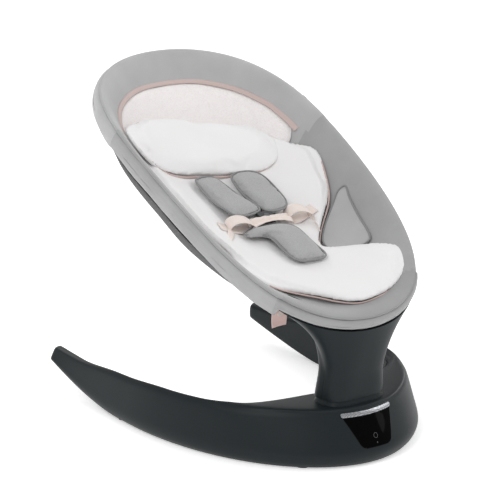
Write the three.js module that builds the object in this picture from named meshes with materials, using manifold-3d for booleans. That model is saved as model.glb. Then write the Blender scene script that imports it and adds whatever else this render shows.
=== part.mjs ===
// Baby swing: a bucket seat in an oval tube frame, on a column that turns in a crescent base.
// Millimetres, +Z up. The foot end of the seat and the control panel face -Y.
import * as THREE from "three";
import { mergeVertices } from "three/addons/utils/BufferGeometryUtils.js";
import Module from "manifold-3d";

const wasm = await Module();
wasm.setup();

// ---------- driving dimensions ----------
const gap = 0.3; // between pieces that touch
const layerGap = 4; // between soft layers, which follow a curved sheet
const harnessGap = 8; // above the seat pad, whose top is fuller than the sheet
const frameOriginY = 276.7; // middle of the object's depth, from the column axis

const rim = { length: 760, width: 425, tilt: 27.5, footY: -52, footZ: 258, power: 2.05 };
const rimShape = { taper: 0.096, fullness: 0.29, rise: 21.8 };
const tube = { radius: 9, wall: 1.5, stations: 20, sides: 8, split: 0.003 }; // split: half the gap, an angle
const sleeve = { slack: 1.5, wall: 2.5, halfTall: 20, sides: 8, squareness: 2.6 };
const sling = { wall: 3, footDepth: 40, depth: 98, fullness: 3, inset: 1.5, rings: 7, stations: 32 };
const slingFall = { from: -0.95, to: -0.15 }; // share of the length over which the sling deepens

const crescent = { halfWidth: 264, tipInset: 12, frontY: -84, sideY: 330, tipY: 610 };
const crescentMesh = { front: 0.62, stations: 37 }; // share of the stations in the front, and their count
const arm = { width: 31, housingDepth: 147, turnRoom: 21.35, wall: 2.6, tipLift: 42, liftStart: 390 };
const narrowing = { start: 20, end: 150 }; // housing to arm: after the front, and where it ends
const turnRadius = arm.housingDepth + arm.turnRoom; // in which the front wall turns
const baseClearance = 2.5; // shell above the floor, on its feet
const ridge = { front: 95, side: 92, middle: 83, tip: 75 };
const ridgeFalls = [[100, 250, ridge.side], [230, 380, ridge.middle], [360, 520, ridge.tip]];
const lean = { front: 29, arm: 10, end: 120 };
const shellEdge = { toe: 12, heel: 2, roof: 18, roofShare: 0.45, round: 14 };
const tipRounding = [[0.14, 5], [0.4, 8.5]]; // share closed in, and distance forward

const axis = { y: 4, z: 108, tilt: 4 }; // where the swing axis passes the seam, and its lean to the rear
const column = { halfWidth: 58, halfDepth: 37, neck: 0.1, neckEnd: 0.35, wall: 3, seam: 1.2, flare: 2.6 };
const columnMesh = { power: 0.55, angles: 15, levels: 10, join: 2e-4 }; // join keeps the halves apart
const yoke = { halfSpan: 150, outer: 6, inner: 46, drop: 24 };
const bracket = { out: -16, half: 12, thick: 5, below: 9, halfSpan: 92 };
const saddle = { angle: 0.3, out: -9.5, halfOut: 3.2, halfX: 6, slot: 1.5 };
const collar = { halfWidth: 84, halfDepth: 52, bottomZ: 84, lip: 1, power: 0.6, levels: [0, 0.35, 0.75, 1] };

const shaft = { radius: 12, bottom: -74, top: 30, clearance: 2 };
const bearing = { race: 12, height: 9, inset: 2 };
const housing = { wall: 6.7, top: -14, bottom: -52 };
const post = { clearance: 2.5, wall: 2.5, bottom: 8, straight: 66, topY: -17, topZ: 212 };
const gear = { module: 1.5, sectorTeeth: 72, pinionTeeth: 18, pressure: 20, thick: 8, z: -66, backlash: 0.3 };
const hub = { wall: 9, halfGap: 0.75 };
const swingReach = 12; // degrees each way
const spareTeeth = 8; // degrees of gear beyond the swing
const spindle = { radius: 3, below: 6, above: 2 };
const gearCase = { width: 40, depth: 36, height: 24, drop: 1, seat: 6 };
const motor = { radius: 12, length: 38 };

const panel = { topHalf: 52, bottomHalf: 30, topZ: 86, bottomZ: 34, depth: 4 };
const panelCorner = { height: 8, start: 6, bend: 3 };
const strip = { halfWidth: 55, bottomZ: 87.5, height: 5, depth: 5, proud: 0.8 };
const inlay = { reach: 60, behindFront: 50 };
const board = { width: 70, height: 42, thick: 1.6, behind: 14 };
const speaker = { radius: 20, height: 14, x: -76, y: 6 };
const jack = { radius: 5, bore: 3, length: 16, x: 42, z: 32, y: 50 };
const ballast = { width: 190, depth: 44, thick: 5, y: 4, z: 7.5 };
const trim = { radius: 2.2 };
const sides = 16; // of a plain round piece
const cover = { thick: 3, clearance: 0.4, rise: 1, reach: 0.975 };
const foot = { frontRadius: 13, rearRadius: 8, station: 0.20325, inset: 27.15, rearY: 372 };
const screw = { radius: 2.8, length: 8, x: 60, frontY: -48, rearY: 34, head: 0.5, sides: 12 };

const drawn = { length: 760, width: 425 }; // the rim the soft outlines were drawn for
const seatPad = { thick: 14 };
const meshPanel = { thick: 2 };
const gusset = { thick: 3 };
const pillow = { thick: 26 };
const strap = { width: 24, thick: 1.6 };
const shoulderPad = { thick: 9 };
const crotchPad = { thick: 10 };
const buckle = { width: 40, length: 30, height: 14, v: 326, buttonRadius: 7, travel: 3, sink: 0.5 };
const button = { seat: 5, proud: 1.2, skirt: 1 };
const tongue = { width: 18, length: 13, thick: 3, clearance: 0.5, inside: 3, mouth: 6 };
const ribbon = { width: 22, thick: 1.6, rise: 22, span: 34, x: 66, below: 22, above: 1.5 };
const tag = { width: 24, length: 42, thick: 1.5, x: -112, v: 118, snapRadius: 5.5, snapUp: 9, snapThick: 2 };
const clip = { size: 9, thick: 6, clearance: 0.6, angles: [118, 124] };

// ---------- materials ----------
const paint = (color, roughness, metalness = 0) =>
  new THREE.MeshStandardMaterial({ color, roughness, metalness });
const looks = {
  plastic: paint(0x2b3032, 0.5),
  innerPlastic: paint(0x3a3d3f, 0.6),
  gloss: paint(0x08090b, 0.12),
  silver: paint(0xa9adb0, 0.35, 0.9),
  steel: paint(0x8d9194, 0.35, 1),
  board: paint(0x1f5a37, 0.6),
  rubber: paint(0x161718, 0.85),
  greyFabric: paint(0xa9a9ab, 0.95),
  whiteFabric: paint(0xf1eff0, 0.9),
  mesh: paint(0xf3e9e8, 0.85),
  padGrey: paint(0x8d8d90, 0.95),
  pinkTrim: paint(0xe9cdc8, 0.8),
  webbing: paint(0xeadfd6, 0.7),
};

const model = new THREE.Group();
model.position.y = -frameOriginY;
const swing = new THREE.Group(); // along the tilted swing axis, from the seam upwards
swing.position.set(0, axis.y, axis.z);
swing.rotation.x = -THREE.MathUtils.degToRad(axis.tilt);
model.add(swing);

function add(parent, name, geometry, material) {
  const mesh = new THREE.Mesh(geometry, material);
  mesh.name = name;
  parent.add(mesh);
  return mesh;
}

// ---------- solids ----------
const vec = (x, y, z) => new THREE.Vector3(x, y, z);
const smooth = (from, to, x) => THREE.MathUtils.smoothstep(x, from, to);
const lerp = THREE.MathUtils.lerp;
const steps = (count) => Array.from({ length: count }, (_, i) => i);
const signedPower = (x, power) => Math.sign(x) * Math.abs(x) ** power;

/** Turns a geometry's faces outwards if its volume comes out negative. */
function faceOut(geometry) {
  const p = geometry.getAttribute("position");
  const index = geometry.index.array;
  const corner = (i) => new THREE.Vector3().fromBufferAttribute(p, index[i]);
  let volume = 0;
  for (let i = 0; i < index.length; i += 3) {
    volume += corner(i).dot(corner(i + 1).cross(corner(i + 2)));
  }
  if (volume < 0) {
    index.reverse();
  }
  geometry.computeVertexNormals();
  return geometry;
}

/**
 * A closed solid through rings of points. Its ends are a fan about their middle, a strip for a thin
 * ring that runs out and back, or the rings are joined from the last to the first.
 */
function loft(rings, ends = "fan") {
  const size = rings[0].length;
  const points = rings.flat();
  const faces = [];
  const quad = (a, b, c, d) => faces.push(a, b, c, a, c, d);
  for (const r of steps(ends === "joined" ? rings.length : rings.length - 1)) {
    const next = (r + 1) % rings.length;
    for (const j of steps(size)) {
      const k = (j + 1) % size;
      quad(r * size + j, r * size + k, next * size + k, next * size + j);
    }
  }
  const fan = (ring, start, flip) => {
    points.push(ring.reduce((sum, p) => sum.add(p), vec(0, 0, 0)).divideScalar(size));
    for (const j of steps(size)) {
      const k = (j + 1) % size;
      faces.push(points.length - 1, start + (flip ? k : j), start + (flip ? j : k));
    }
  };
  const strip = (_, start, flip) => {
    for (const j of steps(size / 2 - 1)) {
      const corners = [j, j + 1, size - 2 - j, size - 1 - j].map((k) => start + k);
      quad(...(flip ? corners.reverse() : corners));
    }
  };
  if (ends !== "joined") {
    const cap = ends === "strip" ? strip : fan;
    cap(rings[0], 0, true);
    cap(rings.at(-1), (rings.length - 1) * size, false);
  }
  const geometry = new THREE.BufferGeometry();
  geometry.setAttribute("position", new THREE.Float32BufferAttribute(points.flatMap((p) => p.toArray()), 3));
  geometry.setIndex(faces);
  return faceOut(geometry);
}

function solid(geometry) {
  const bare = new THREE.BufferGeometry();
  const flat = geometry.index ? geometry.toNonIndexed() : geometry;
  bare.setAttribute("position", flat.getAttribute("position").clone());
  const merged = mergeVertices(bare, 1e-3);
  return new wasm.Manifold(new wasm.Mesh({
    numProp: 3,
    vertProperties: merged.getAttribute("position").array,
    triVerts: new Uint32Array(merged.index.array),
  }));
}

function fromSolid(body) {
  const mesh = body.getMesh();
  const geometry = new THREE.BufferGeometry();
  geometry.setAttribute("position", new THREE.BufferAttribute(new Float32Array(mesh.vertProperties), 3));
  geometry.setIndex(new THREE.BufferAttribute(new Uint32Array(mesh.triVerts), 1));
  geometry.computeVertexNormals();
  return geometry;
}

function cut(body, ...tools) {
  return fromSolid(tools.reduce((rest, tool) => rest.subtract(solid(tool)), solid(body)));
}

function common(a, b) {
  return fromSolid(solid(a).intersect(solid(b)));
}

function rod(radius, from, to, around = sides) {
  return new THREE.CylinderGeometry(radius, radius, to - from, around)
    .rotateX(Math.PI / 2)
    .translate(0, 0, (from + to) / 2);
}

function ring(outer, inner, from, to) {
  const wall = [[inner, from], [outer, from], [outer, to], [inner, to], [inner, from]];
  const profile = wall.map(([r, z]) => new THREE.Vector2(r, z));
  return new THREE.LatheGeometry(profile, sides).rotateX(Math.PI / 2);
}

function block(width, depth, height, x = 0, y = 0, z = 0) {
  return new THREE.BoxGeometry(width, depth, height).translate(x, y, z);
}

// ---------- the seat's own frame: x across, v up the seat from the foot, n out of it ----------
const tilt = THREE.MathUtils.degToRad(rim.tilt);
const alongSeat = vec(0, Math.cos(tilt), Math.sin(tilt));
const offSeat = vec(0, -Math.sin(tilt), Math.cos(tilt));

function seatPoint(x, v, n) {
  return vec(x, rim.footY, rim.footZ).addScaledVector(alongSeat, v).addScaledVector(offSeat, n);
}

const widthAt = (share) => (rim.width / 2) * (1 + rimShape.taper * share + rimShape.fullness * share ** 2);
const rimRise = (share) => rimShape.rise * (1 - share ** 2);

/** Centre line of the frame tube. Angle 0 is the foot, 180 degrees the head. */
function rimAt(angle) {
  const share = -signedPower(Math.cos(angle), 2 / rim.power);
  const x = signedPower(Math.sin(angle), 2 / rim.power) * widthAt(share);
  return { x, v: ((share + 1) * rim.length) / 2, n: rimRise(share) };
}

function rimFrame(angle) {
  const here = rimAt(angle);
  const ahead = rimAt(angle + 0.002);
  const behind = rimAt(angle - 0.002);
  const across = new THREE.Vector2(ahead.v - behind.v, behind.x - ahead.x).normalize();
  return { ...here, outX: across.x, outV: across.y };
}

/** A point beside the tube's centre line: out from the seat's middle, and up off the seat. */
function besideRim(angle, out, up) {
  const f = rimFrame(angle);
  return seatPoint(f.x + f.outX * out, f.v + f.outV * out, f.n + up);
}

/** How far from the middle of the seat (0) to the rim (1) a place lies. */
function reach(x, v) {
  const share = (2 * v) / rim.length - 1;
  const side = Math.abs(x) / widthAt(share);
  return Math.min(1, (Math.abs(share) ** rim.power + side ** rim.power) ** (1 / rim.power));
}

/** Height of the hung fabric above the plane through the foot and head of the rim. */
function sheetHeight(x, v) {
  const share = (2 * v) / rim.length - 1;
  const depth = lerp(sling.footDepth, sling.depth, smooth(slingFall.from, slingFall.to, share));
  return rimRise(share) - depth * (1 - reach(x, v) ** sling.fullness);
}

const onSheet = (x, v, lift) => seatPoint(x, v, sheetHeight(x, v) + lift);

// ---------- frame and cover ----------
function sectionAt(angle, halfOut, halfUp, count, power = 2) {
  return steps(count).map((j) => {
    const a = ((j + 0.5) / count) * 2 * Math.PI;
    const out = halfOut * signedPower(Math.cos(a), 2 / power);
    return besideRim(angle, out, halfUp * signedPower(Math.sin(a), 2 / power));
  });
}

const tubeStep = (Math.PI - 2 * tube.split) / tube.stations;

function frameTube(side) {
  const angles = steps(tube.stations + 1).map((i) => side * (tube.split + i * tubeStep));
  const wallAt = (radius) => angles.map((a) => sectionAt(a, radius, radius, tube.sides));
  return loft([...wallAt(tube.radius), ...wallAt(tube.radius - tube.wall).reverse()], "joined");
}

/** A plug inside both tubes where they meet, as long as one step of the tube each way. */
function tubePlug(middle) {
  const radius = tube.radius - tube.wall - gap;
  const angles = [-tube.split - tubeStep, -tube.split, tube.split, tube.split + tubeStep];
  return loft(angles.map((a) => sectionAt(middle + a, radius, radius, tube.sides)));
}

const sleeveHalfThick = tube.radius + sleeve.slack + sleeve.wall;

function rimSleeve() {
  const { halfTall, wall, squareness } = sleeve;
  const stations = 2 * tube.stations;
  const surface = (skin) => loft(steps(stations).map((i) => {
    const angle = (i / stations) * 2 * Math.PI;
    return sectionAt(angle, sleeveHalfThick - skin, halfTall - skin, sleeve.sides, squareness);
  }), "joined");
  return cut(surface(0), surface(wall), saddlePost(-1, saddle.slot), saddlePost(1, saddle.slot));
}

/** A short post from the bracket to the underside of the tube, or the slot for it. */
function saddlePost(side, grow) {
  const level = (up) => [[-1, -1], [1, -1], [1, 1], [-1, 1]].map(([a, b]) =>
    besideRim(side * saddle.angle, saddle.out + a * (saddle.halfOut + grow), up)
      .add(vec(b * (saddle.halfX + grow), 0, 0)));
  return loft([level(-yoke.drop - bracket.below + gap), level(-tube.radius - gap)]);
}

function slingEdge(station) {
  const angle = (station / sling.stations) * 2 * Math.PI;
  const f = rimFrame(angle);
  const inset = sleeveHalfThick + sling.inset;
  return { x: f.x - f.outX * inset, v: f.v - f.outV * inset };
}

function seatSling() {
  const middle = rim.length / 2;
  const ringAt = (share, lift) => steps(sling.stations).map((i) => {
    const edge = slingEdge(i);
    return onSheet(edge.x * share, middle + (edge.v - middle) * share, lift);
  });
  const shares = steps(sling.rings).map((i) => (i + 1) / sling.rings);
  const inside = shares.map((share) => ringAt(share, 0));
  const outside = shares.map((share) => ringAt(share, -sling.wall));
  return loft([...inside, ...outside.reverse()]);
}

// ---------- soft pieces laid on the sling ----------
/** The other half of an outline that starts and ends on the middle line. */
function mirrored(half) {
  return [...half, ...half.slice(1, -1).reverse().map(([x, v]) => [-x, v])];
}

const onSide = (points, side) => points.map(([x, v]) => [x * side, v]);

/** Both halves of a drawn outline, or one side of it, stretched to the rim. */
const wholeOutline = (half) => fitted(mirrored(half));
const sideOutline = (points, side) => fitted(onSide(points, side));

function smoothOutline(points, count) {
  const curve = new THREE.CatmullRomCurve3(points.map(([x, v]) => vec(x, v, 0)), true);
  return curve.getSpacedPoints(count).slice(0, count);
}

/** A cushion over the sling: flat below, full above, thin at its edge. */
function cushion(points, { lift, thick, count = 24, middle, edge = 0.25, shares = [0.45, 0.85, 1] }) {
  const outline = smoothOutline(points, count);
  const [[cx, cv]] = fitted([middle]);
  const ringAt = (share, height) => outline.map((p) => {
    const x = cx + (p.x - cx) * share;
    const v = cv + (p.y - cv) * share;
    return onSheet(x, v, lift + height);
  });
  const crown = (share) => thick * lerp(edge, 1, Math.sqrt(1 - share ** 4));
  const below = shares.map((share) => ringAt(share, 0));
  const above = shares.map((share) => ringAt(share, crown(share)));
  return loft([...below, ...above.reverse()]);
}

/** A flat strap along points of the seat, lying on the sheet. */
function sheetStrap(points, lift, width) {
  const path = new THREE.CatmullRomCurve3(points.map(([x, v]) => vec(x, v, 0)));
  return loft(steps(9).map((i) => {
    const p = path.getPointAt(i / 8);
    const t = path.getTangentAt(i / 8);
    const side = vec(-t.y, t.x, 0).multiplyScalar(width / 2);
    const at = (sign, up) => onSheet(p.x + side.x * sign, p.y + side.y * sign, lift + up);
    return [at(-1, 0), at(1, 0), at(1, strap.thick), at(-1, strap.thick)];
  }));
}

const layers = {};
layers.mesh = layerGap;
layers.gusset = layerGap;
layers.pad = layers.gusset + gusset.thick + layerGap;
layers.strap = layers.pad + seatPad.thick + harnessGap;
layers.harnessPad = layers.strap + strap.thick + layerGap;
layers.pillow = layers.strap + strap.thick + layerGap;

/** Stretches drawn points to the rim. */
const fitted = (points) => points.map(([x, v]) =>
  [(x * rim.width) / drawn.width, (v * rim.length) / drawn.length]);
const [[, buckleV], [tagX, tagV]] = fitted([[0, buckle.v], [tag.x, tag.v]]);

const padHalf = [
  [0, 655], [80, 640], [130, 590], [160, 520], [184, 468], [186, 419], [171, 363],
  [128, 303], [90, 262], [78, 222], [112, 203], [142, 172], [148, 138], [134, 104],
  [106, 74], [56, 52], [0, 44],
];
const meshHalf = [[0, 700], [70, 690], [130, 650], [168, 590], [176, 520], [150, 480], [0, 470]];
const pillowHalf = [[0, 606], [50, 618], [105, 610], [142, 570], [146, 520], [110, 472], [50, 458], [0, 464]];
const gussetSide = [[112, 225], [148, 205], [176, 250], [186, 320], [178, 352], [158, 338], [128, 282]];
const shoulderSide = [[22, 436], [52, 448], [84, 440], [94, 408], [74, 372], [42, 350], [16, 354], [14, 398]];
const crotchHalf = [[0, 305], [28, 300], [38, 270], [38, 215], [36, 180], [20, 167], [0, 165]];

function addCushions() {
  const { pad, harnessPad } = layers;
  add(model, "mesh_panel", cushion(wholeOutline(meshHalf), {
    lift: layers.mesh, thick: meshPanel.thick, middle: [0, 590], edge: 0.8, shares: [0.3, 0.55, 0.8, 1],
  }), looks.mesh);
  add(model, "seat_pad", cushion(wholeOutline(padHalf), {
    lift: pad, thick: seatPad.thick, middle: [0, 232], count: 48, shares: [0.3, 0.6, 0.85, 1],
  }), looks.whiteFabric);
  add(model, "head_pillow", cushion(wholeOutline(pillowHalf), {
    lift: layers.pillow, thick: pillow.thick, middle: [0, 538],
  }), looks.whiteFabric);
  add(model, "crotch_pad", cushion(wholeOutline(crotchHalf), {
    lift: harnessPad, thick: crotchPad.thick, middle: [0, 235], count: 20,
  }), looks.padGrey);
  for (const [side, word] of [[-1, "left"], [1, "right"]]) {
    add(model, `side_gusset_${word}`, cushion(sideOutline(gussetSide, side), {
      lift: layers.gusset, thick: gusset.thick, middle: [side * 152, 278], count: 20, edge: 0.6,
    }), looks.greyFabric);
    add(model, `shoulder_pad_${word}`, cushion(sideOutline(shoulderSide, side), {
      lift: harnessPad, thick: shoulderPad.thick, middle: [side * 52, 404], count: 20,
    }), looks.padGrey);
  }
}

function addStraps() {
  const lift = layers.strap;
  const half = buckle.width / 2;
  for (const [side, word] of [[-1, "left"], [1, "right"]]) {
    const shoulder = sideOutline([[60, 446], [56, 420], [44, 380], [20, buckle.v + 20]], side);
    add(model, `shoulder_strap_${word}`, sheetStrap(shoulder, lift, strap.width), looks.webbing);
    const start = half + tongue.length + 1;
    const waist = [...onSide([[start, buckleV - 4]], side), ...sideOutline([[68, 312], [112, 322]], side)];
    add(model, `waist_strap_${word}`, sheetStrap(waist, lift, strap.width), looks.webbing);
    add(model, `ribbon_loop_${word}`, ribbonLoop(side), looks.webbing);
  }
  const crotch = [[0, buckleV - buckle.length / 2 - 1], ...fitted([[0, 260], [0, 178]])];
  add(model, "crotch_strap", sheetStrap(crotch, lift, strap.width), looks.webbing);
}

/** A loop of satin ribbon that stands up off the waist strap. */
function ribbonLoop(side) {
  const lift = layers.strap + strap.thick + ribbon.above;
  const rings = steps(11).map((i) => {
    const a = (i / 10) * Math.PI;
    const bow = (reachOut) => {
      const x = side * (ribbon.x - (ribbon.span / 2 + reachOut) * Math.cos(a));
      const up = lift + (ribbon.rise + reachOut) * Math.sin(a);
      return { x, up };
    };
    return [[-1, 0], [1, 0], [1, 1], [-1, 1]].map(([across, out]) => {
      const { x, up } = bow(out * ribbon.thick);
      return onSheet(x, buckleV - ribbon.below + (across * ribbon.width) / 2, up);
    });
  });
  return loft(rings);
}

function addBuckle() {
  const base = sheetHeight(0, buckleV) + layers.strap - buckle.sink;
  const group = new THREE.Group();
  group.position.copy(seatPoint(0, buckleV, base));
  group.rotation.x = tilt;
  model.add(group);
  const { width, length, height, buttonRadius, travel } = buckle;
  const body = block(width, length, height, 0, 0, height / 2);
  const pocket = rod(buttonRadius + gap, height - travel - button.seat, height + gap);
  const { mouth, clearance } = tongue;
  const mouths = [-1, 1].map((side) => block(mouth, tongue.width + 2 * clearance,
    tongue.thick + 2 * clearance, side * (width / 2 - mouth / 3), 0, height / 2));
  add(group, "harness_buckle", cut(body, pocket, ...mouths), looks.plastic);
  const cap = rod(buttonRadius, height - travel - button.skirt, height + button.proud);
  add(group, "buckle_button", cap, looks.innerPlastic);
  for (const [side, word] of [[-1, "left"], [1, "right"]]) {
    const x = side * (width / 2 + tongue.length / 2 - tongue.inside);
    const plate = block(tongue.length, tongue.width, tongue.thick, x, 0, height / 2);
    add(group, `buckle_tongue_${word}`, plate, looks.plastic);
  }
}

const trimHalf = [[0, 712], [72, 700], [132, 658], [168, 600], [180, 548]];

function meshTrim() {
  const line = fitted([...onSide(trimHalf.slice(1), -1).reverse(), ...trimHalf]);
  const path = new THREE.CatmullRomCurve3(line.map(([x, v]) => vec(x, v, 0)));
  const lift = layers.mesh + meshPanel.thick + layerGap + trim.radius;
  return loft(steps(25).map((i) => {
    const p = path.getPointAt(i / 24);
    const t = path.getTangentAt(i / 24);
    return steps(6).map((j) => {
      const a = (j / 6) * 2 * Math.PI;
      const out = trim.radius * Math.cos(a);
      return onSheet(p.x - t.y * out, p.y + t.x * out, lift + trim.radius * Math.sin(a));
    });
  }));
}

function addCover() {
  add(model, "rim_sleeve", rimSleeve(), looks.greyFabric);
  add(model, "seat_sling", seatSling(), looks.greyFabric);
  add(model, "mesh_trim", meshTrim(), looks.pinkTrim);
  for (const [i, degrees] of clip.angles.entries()) {
    const angle = THREE.MathUtils.degToRad(degrees);
    const level = (out) => [[-1, -1], [1, -1], [1, 1], [-1, 1]].map(([a, b]) =>
      besideRim(angle + (a * clip.size) / 2 / 300, out, (b * clip.size) / 2));
    const start = sleeveHalfThick + clip.clearance;
    add(model, `rim_clip_${i + 1}`, loft([level(start), level(start + clip.thick)]), looks.plastic);
  }
  const hang = onSheet(tagX, tagV, -sling.wall - layerGap);
  const ribbonTag = block(tag.width, tag.thick, tag.length, hang.x, hang.y, hang.z - tag.length / 2);
  add(model, "cover_tag", ribbonTag, looks.pinkTrim);
  const snap = rod(tag.snapRadius, 0, tag.snapThick).rotateX(Math.PI / 2);
  snap.translate(hang.x, hang.y - tag.thick / 2 - gap, hang.z - tag.length + tag.snapUp);
  add(model, "tag_snap", snap, looks.webbing);
}

function addFrame() {
  add(model, "frame_tube_left", frameTube(-1), looks.steel);
  add(model, "frame_tube_right", frameTube(1), looks.steel);
  add(model, "head_plug", tubePlug(Math.PI), looks.innerPlastic);
  add(model, "foot_plug", tubePlug(0), looks.innerPlastic);
}

// ---------- column ----------
const axisRotation = new THREE.Euler(-THREE.MathUtils.degToRad(axis.tilt), 0, 0);
const onAxis = (x, y, z) => vec(x, y, z).applyEuler(axisRotation).add(vec(0, axis.y, axis.z));

/** The tube angle whose distance from the middle line is x, at the foot end. */
function angleForX(x) {
  let low = 0;
  let high = 1.2;
  while (high - low > 1e-7) {
    const middle = (low + high) / 2;
    if (rimAt(middle).x < Math.abs(x)) {
      low = middle;
    } else {
      high = middle;
    }
  }
  return Math.sign(x) * low;
}

function yokeTop(around, skin) {
  const x = (yoke.halfSpan - skin) * Math.cos(around);
  const blend = signedPower(Math.sin(around), 0.5);
  const out = lerp(-yoke.inner + skin, yoke.outer - skin, (1 - blend) / 2);
  return besideRim(angleForX(x), out, -yoke.drop);
}

function columnRing(share, skin, angles) {
  const narrow = 1 - column.neck * smooth(0, column.neckEnd, share);
  const flare = share ** column.flare;
  return angles.map((around) => {
    const top = yokeTop(around, skin);
    const low = onAxis(
      (column.halfWidth * narrow - skin) * signedPower(Math.cos(around), columnMesh.power),
      (column.halfDepth * narrow - skin) * signedPower(Math.sin(around), columnMesh.power),
      column.seam,
    );
    return vec(lerp(low.x, top.x, flare), lerp(low.y, top.y, flare), lerp(low.z, top.z, share));
  });
}

/** Half of the hollow column: the front from one side to the other, or the rear. */
function columnShell(start) {
  const { join, levels } = columnMesh;
  const last = columnMesh.angles - 1;
  const angles = steps(columnMesh.angles).map((i) => start + lerp(join, Math.PI - join, i / last));
  return loft(steps(levels).map((i) => {
    const share = i / (levels - 1);
    return [...columnRing(share, 0, angles), ...columnRing(share, column.wall, angles).reverse()];
  }), "strip");
}

/** The room inside the column, less the usual gap. */
function columnRoom() {
  const count = 2 * (columnMesh.angles - 1);
  const angles = steps(count).map((i) => (i / count) * 2 * Math.PI);
  const { levels } = columnMesh;
  return loft(steps(levels).map((i) => columnRing(i / (levels - 1), column.wall + gap, angles)));
}

function yokeBracket() {
  const top = -yoke.drop - bracket.below - gap;
  const plate = loft(steps(11).map((i) => {
    const angle = angleForX(lerp(-bracket.halfSpan, bracket.halfSpan, i / 10) || 0.01);
    return [[-1, 0], [1, 0], [1, -1], [-1, -1]].map(([a, b]) =>
      besideRim(angle, bracket.out + a * bracket.half, top + b * bracket.thick));
  }));
  return common(plate, columnRoom());
}

/** A bent steel tube from the swing shaft up into the yoke. */
function columnPost() {
  const path = new THREE.QuadraticBezierCurve3(
    onAxis(0, 0, post.bottom), onAxis(0, 0, post.straight), vec(0, post.topY, post.topZ));
  const rings = (radius) => steps(6).map((i) => {
    const p = path.getPoint(i / 5);
    const up = path.getTangent(i / 5);
    return steps(sides).map((j) => {
      const a = (j / sides) * 2 * Math.PI;
      return p.clone().add(vec(Math.cos(a), Math.sin(a) * up.z, -Math.sin(a) * up.y).multiplyScalar(radius));
    });
  });
  const bore = shaft.radius + post.clearance;
  return loft([...rings(bore + post.wall), ...rings(bore).reverse()], "joined");
}

function addColumn() {
  add(model, "column_front_shell", columnShell(Math.PI), looks.plastic);
  add(model, "column_rear_shell", columnShell(0), looks.plastic);
  add(model, "column_post", columnPost(), looks.steel);
  add(model, "yoke_bracket", yokeBracket(), looks.steel);
  add(model, "saddle_left", saddlePost(-1, 0), looks.innerPlastic);
  add(model, "saddle_right", saddlePost(1, 0), looks.innerPlastic);
}

// ---------- drive ----------
const pressure = THREE.MathUtils.degToRad(gear.pressure);
const involute = (angle) => Math.tan(angle) - angle;

/** One tooth's outline, counter-clockwise, about a given angle. */
function tooth(teeth, centre) {
  const pitch = (gear.module * teeth) / 2;
  const baseRadius = pitch * Math.cos(pressure);
  const root = pitch - 1.25 * gear.module;
  const tip = pitch + 0.9 * gear.module;
  const halfAtPitch = Math.PI / (2 * teeth) - gear.backlash / 2 / pitch;
  const halfAt = (r) => {
    const turn = r > baseRadius ? involute(Math.acos(baseRadius / r)) : 0;
    return halfAtPitch + involute(pressure) - turn;
  };
  const start = Math.max(root, baseRadius);
  const radii = steps(3).map((i) => lerp(start, tip, i / 2));
  const at = (r, a) => new THREE.Vector2(r * Math.cos(a), r * Math.sin(a));
  const rising = radii.map((r) => at(r, centre - halfAt(r)));
  const falling = radii.reverse().map((r) => at(r, centre + halfAt(r)));
  const foot = halfAt(start);
  return [at(root, centre - foot), ...rising, ...falling, at(root, centre + foot)];
}

function extruded(points, holeRadius, height) {
  const shape = new THREE.Shape(points);
  shape.holes.push(new THREE.Path().absarc(0, 0, holeRadius, 0, 2 * Math.PI, true));
  return new THREE.ExtrudeGeometry(shape, { depth: height, bevelEnabled: false, curveSegments: 16 });
}

function sectorGear() {
  const pitchAngle = (2 * Math.PI) / gear.sectorTeeth;
  const side = Math.ceil(THREE.MathUtils.degToRad(swingReach + spareTeeth) / pitchAngle);
  const teeth = steps(2 * side + 1).flatMap((i) => tooth(gear.sectorTeeth, (i - side) * pitchAngle));
  const radius = shaft.radius + hub.wall;
  const rest = steps(13).map((i) => {
    const a = lerp(hub.halfGap, 2 * Math.PI - hub.halfGap, i / 12);
    return new THREE.Vector2(radius * Math.cos(a), radius * Math.sin(a));
  });
  return extruded([...teeth, ...rest], shaft.radius + gap, gear.thick);
}

function pinionGear() {
  const pitchAngle = (2 * Math.PI) / gear.pinionTeeth;
  const teeth = steps(gear.pinionTeeth).flatMap((i) =>
    tooth(gear.pinionTeeth, Math.PI + (i + 0.5) * pitchAngle));
  const wheel = new THREE.ExtrudeGeometry(new THREE.Shape(teeth), { depth: gear.thick, bevelEnabled: false });
  const axle = rod(spindle.radius, -spindle.below, gear.thick + spindle.above);
  return fromSolid(solid(wheel).add(solid(axle)));
}

function addDrive() {
  const { z, module: m, sectorTeeth, pinionTeeth } = gear;
  const centres = (m * (sectorTeeth + pinionTeeth)) / 2;
  add(swing, "swing_shaft", rod(shaft.radius, shaft.bottom, shaft.top), looks.steel);
  add(swing, "sector_gear", sectorGear(), looks.innerPlastic).position.z = z;
  add(swing, "pinion_gear", pinionGear(), looks.innerPlastic).position.set(centres, 0, z);
  const raceRadius = shaft.radius + bearing.race;
  const wall = ring(raceRadius + housing.wall + gap, raceRadius + gap, housing.bottom, housing.top);
  add(swing, "bearing_housing", wall, looks.innerPlastic);
  const race = (from) => ring(raceRadius, shaft.radius + gap, from, from + bearing.height);
  add(swing, "upper_bearing", race(housing.top - bearing.height - bearing.inset), looks.steel);
  add(swing, "lower_bearing", race(housing.bottom + bearing.inset), looks.steel);
  const caseTop = z - gearCase.drop;
  const box = block(gearCase.width, gearCase.depth, gearCase.height, centres, 0, caseTop - gearCase.height / 2);
  const { seat } = gearCase;
  const socket = rod(spindle.radius + gap, caseTop - seat, caseTop + seat).translate(centres, 0, 0);
  add(swing, "gear_case", cut(box, socket), looks.innerPlastic);
  const can = rod(motor.radius, 0, motor.length).rotateY(Math.PI / 2);
  can.translate(centres + gearCase.width / 2 + gap, 0, caseTop - gearCase.height / 2);
  add(swing, "drive_motor", can, looks.steel);
}

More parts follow.
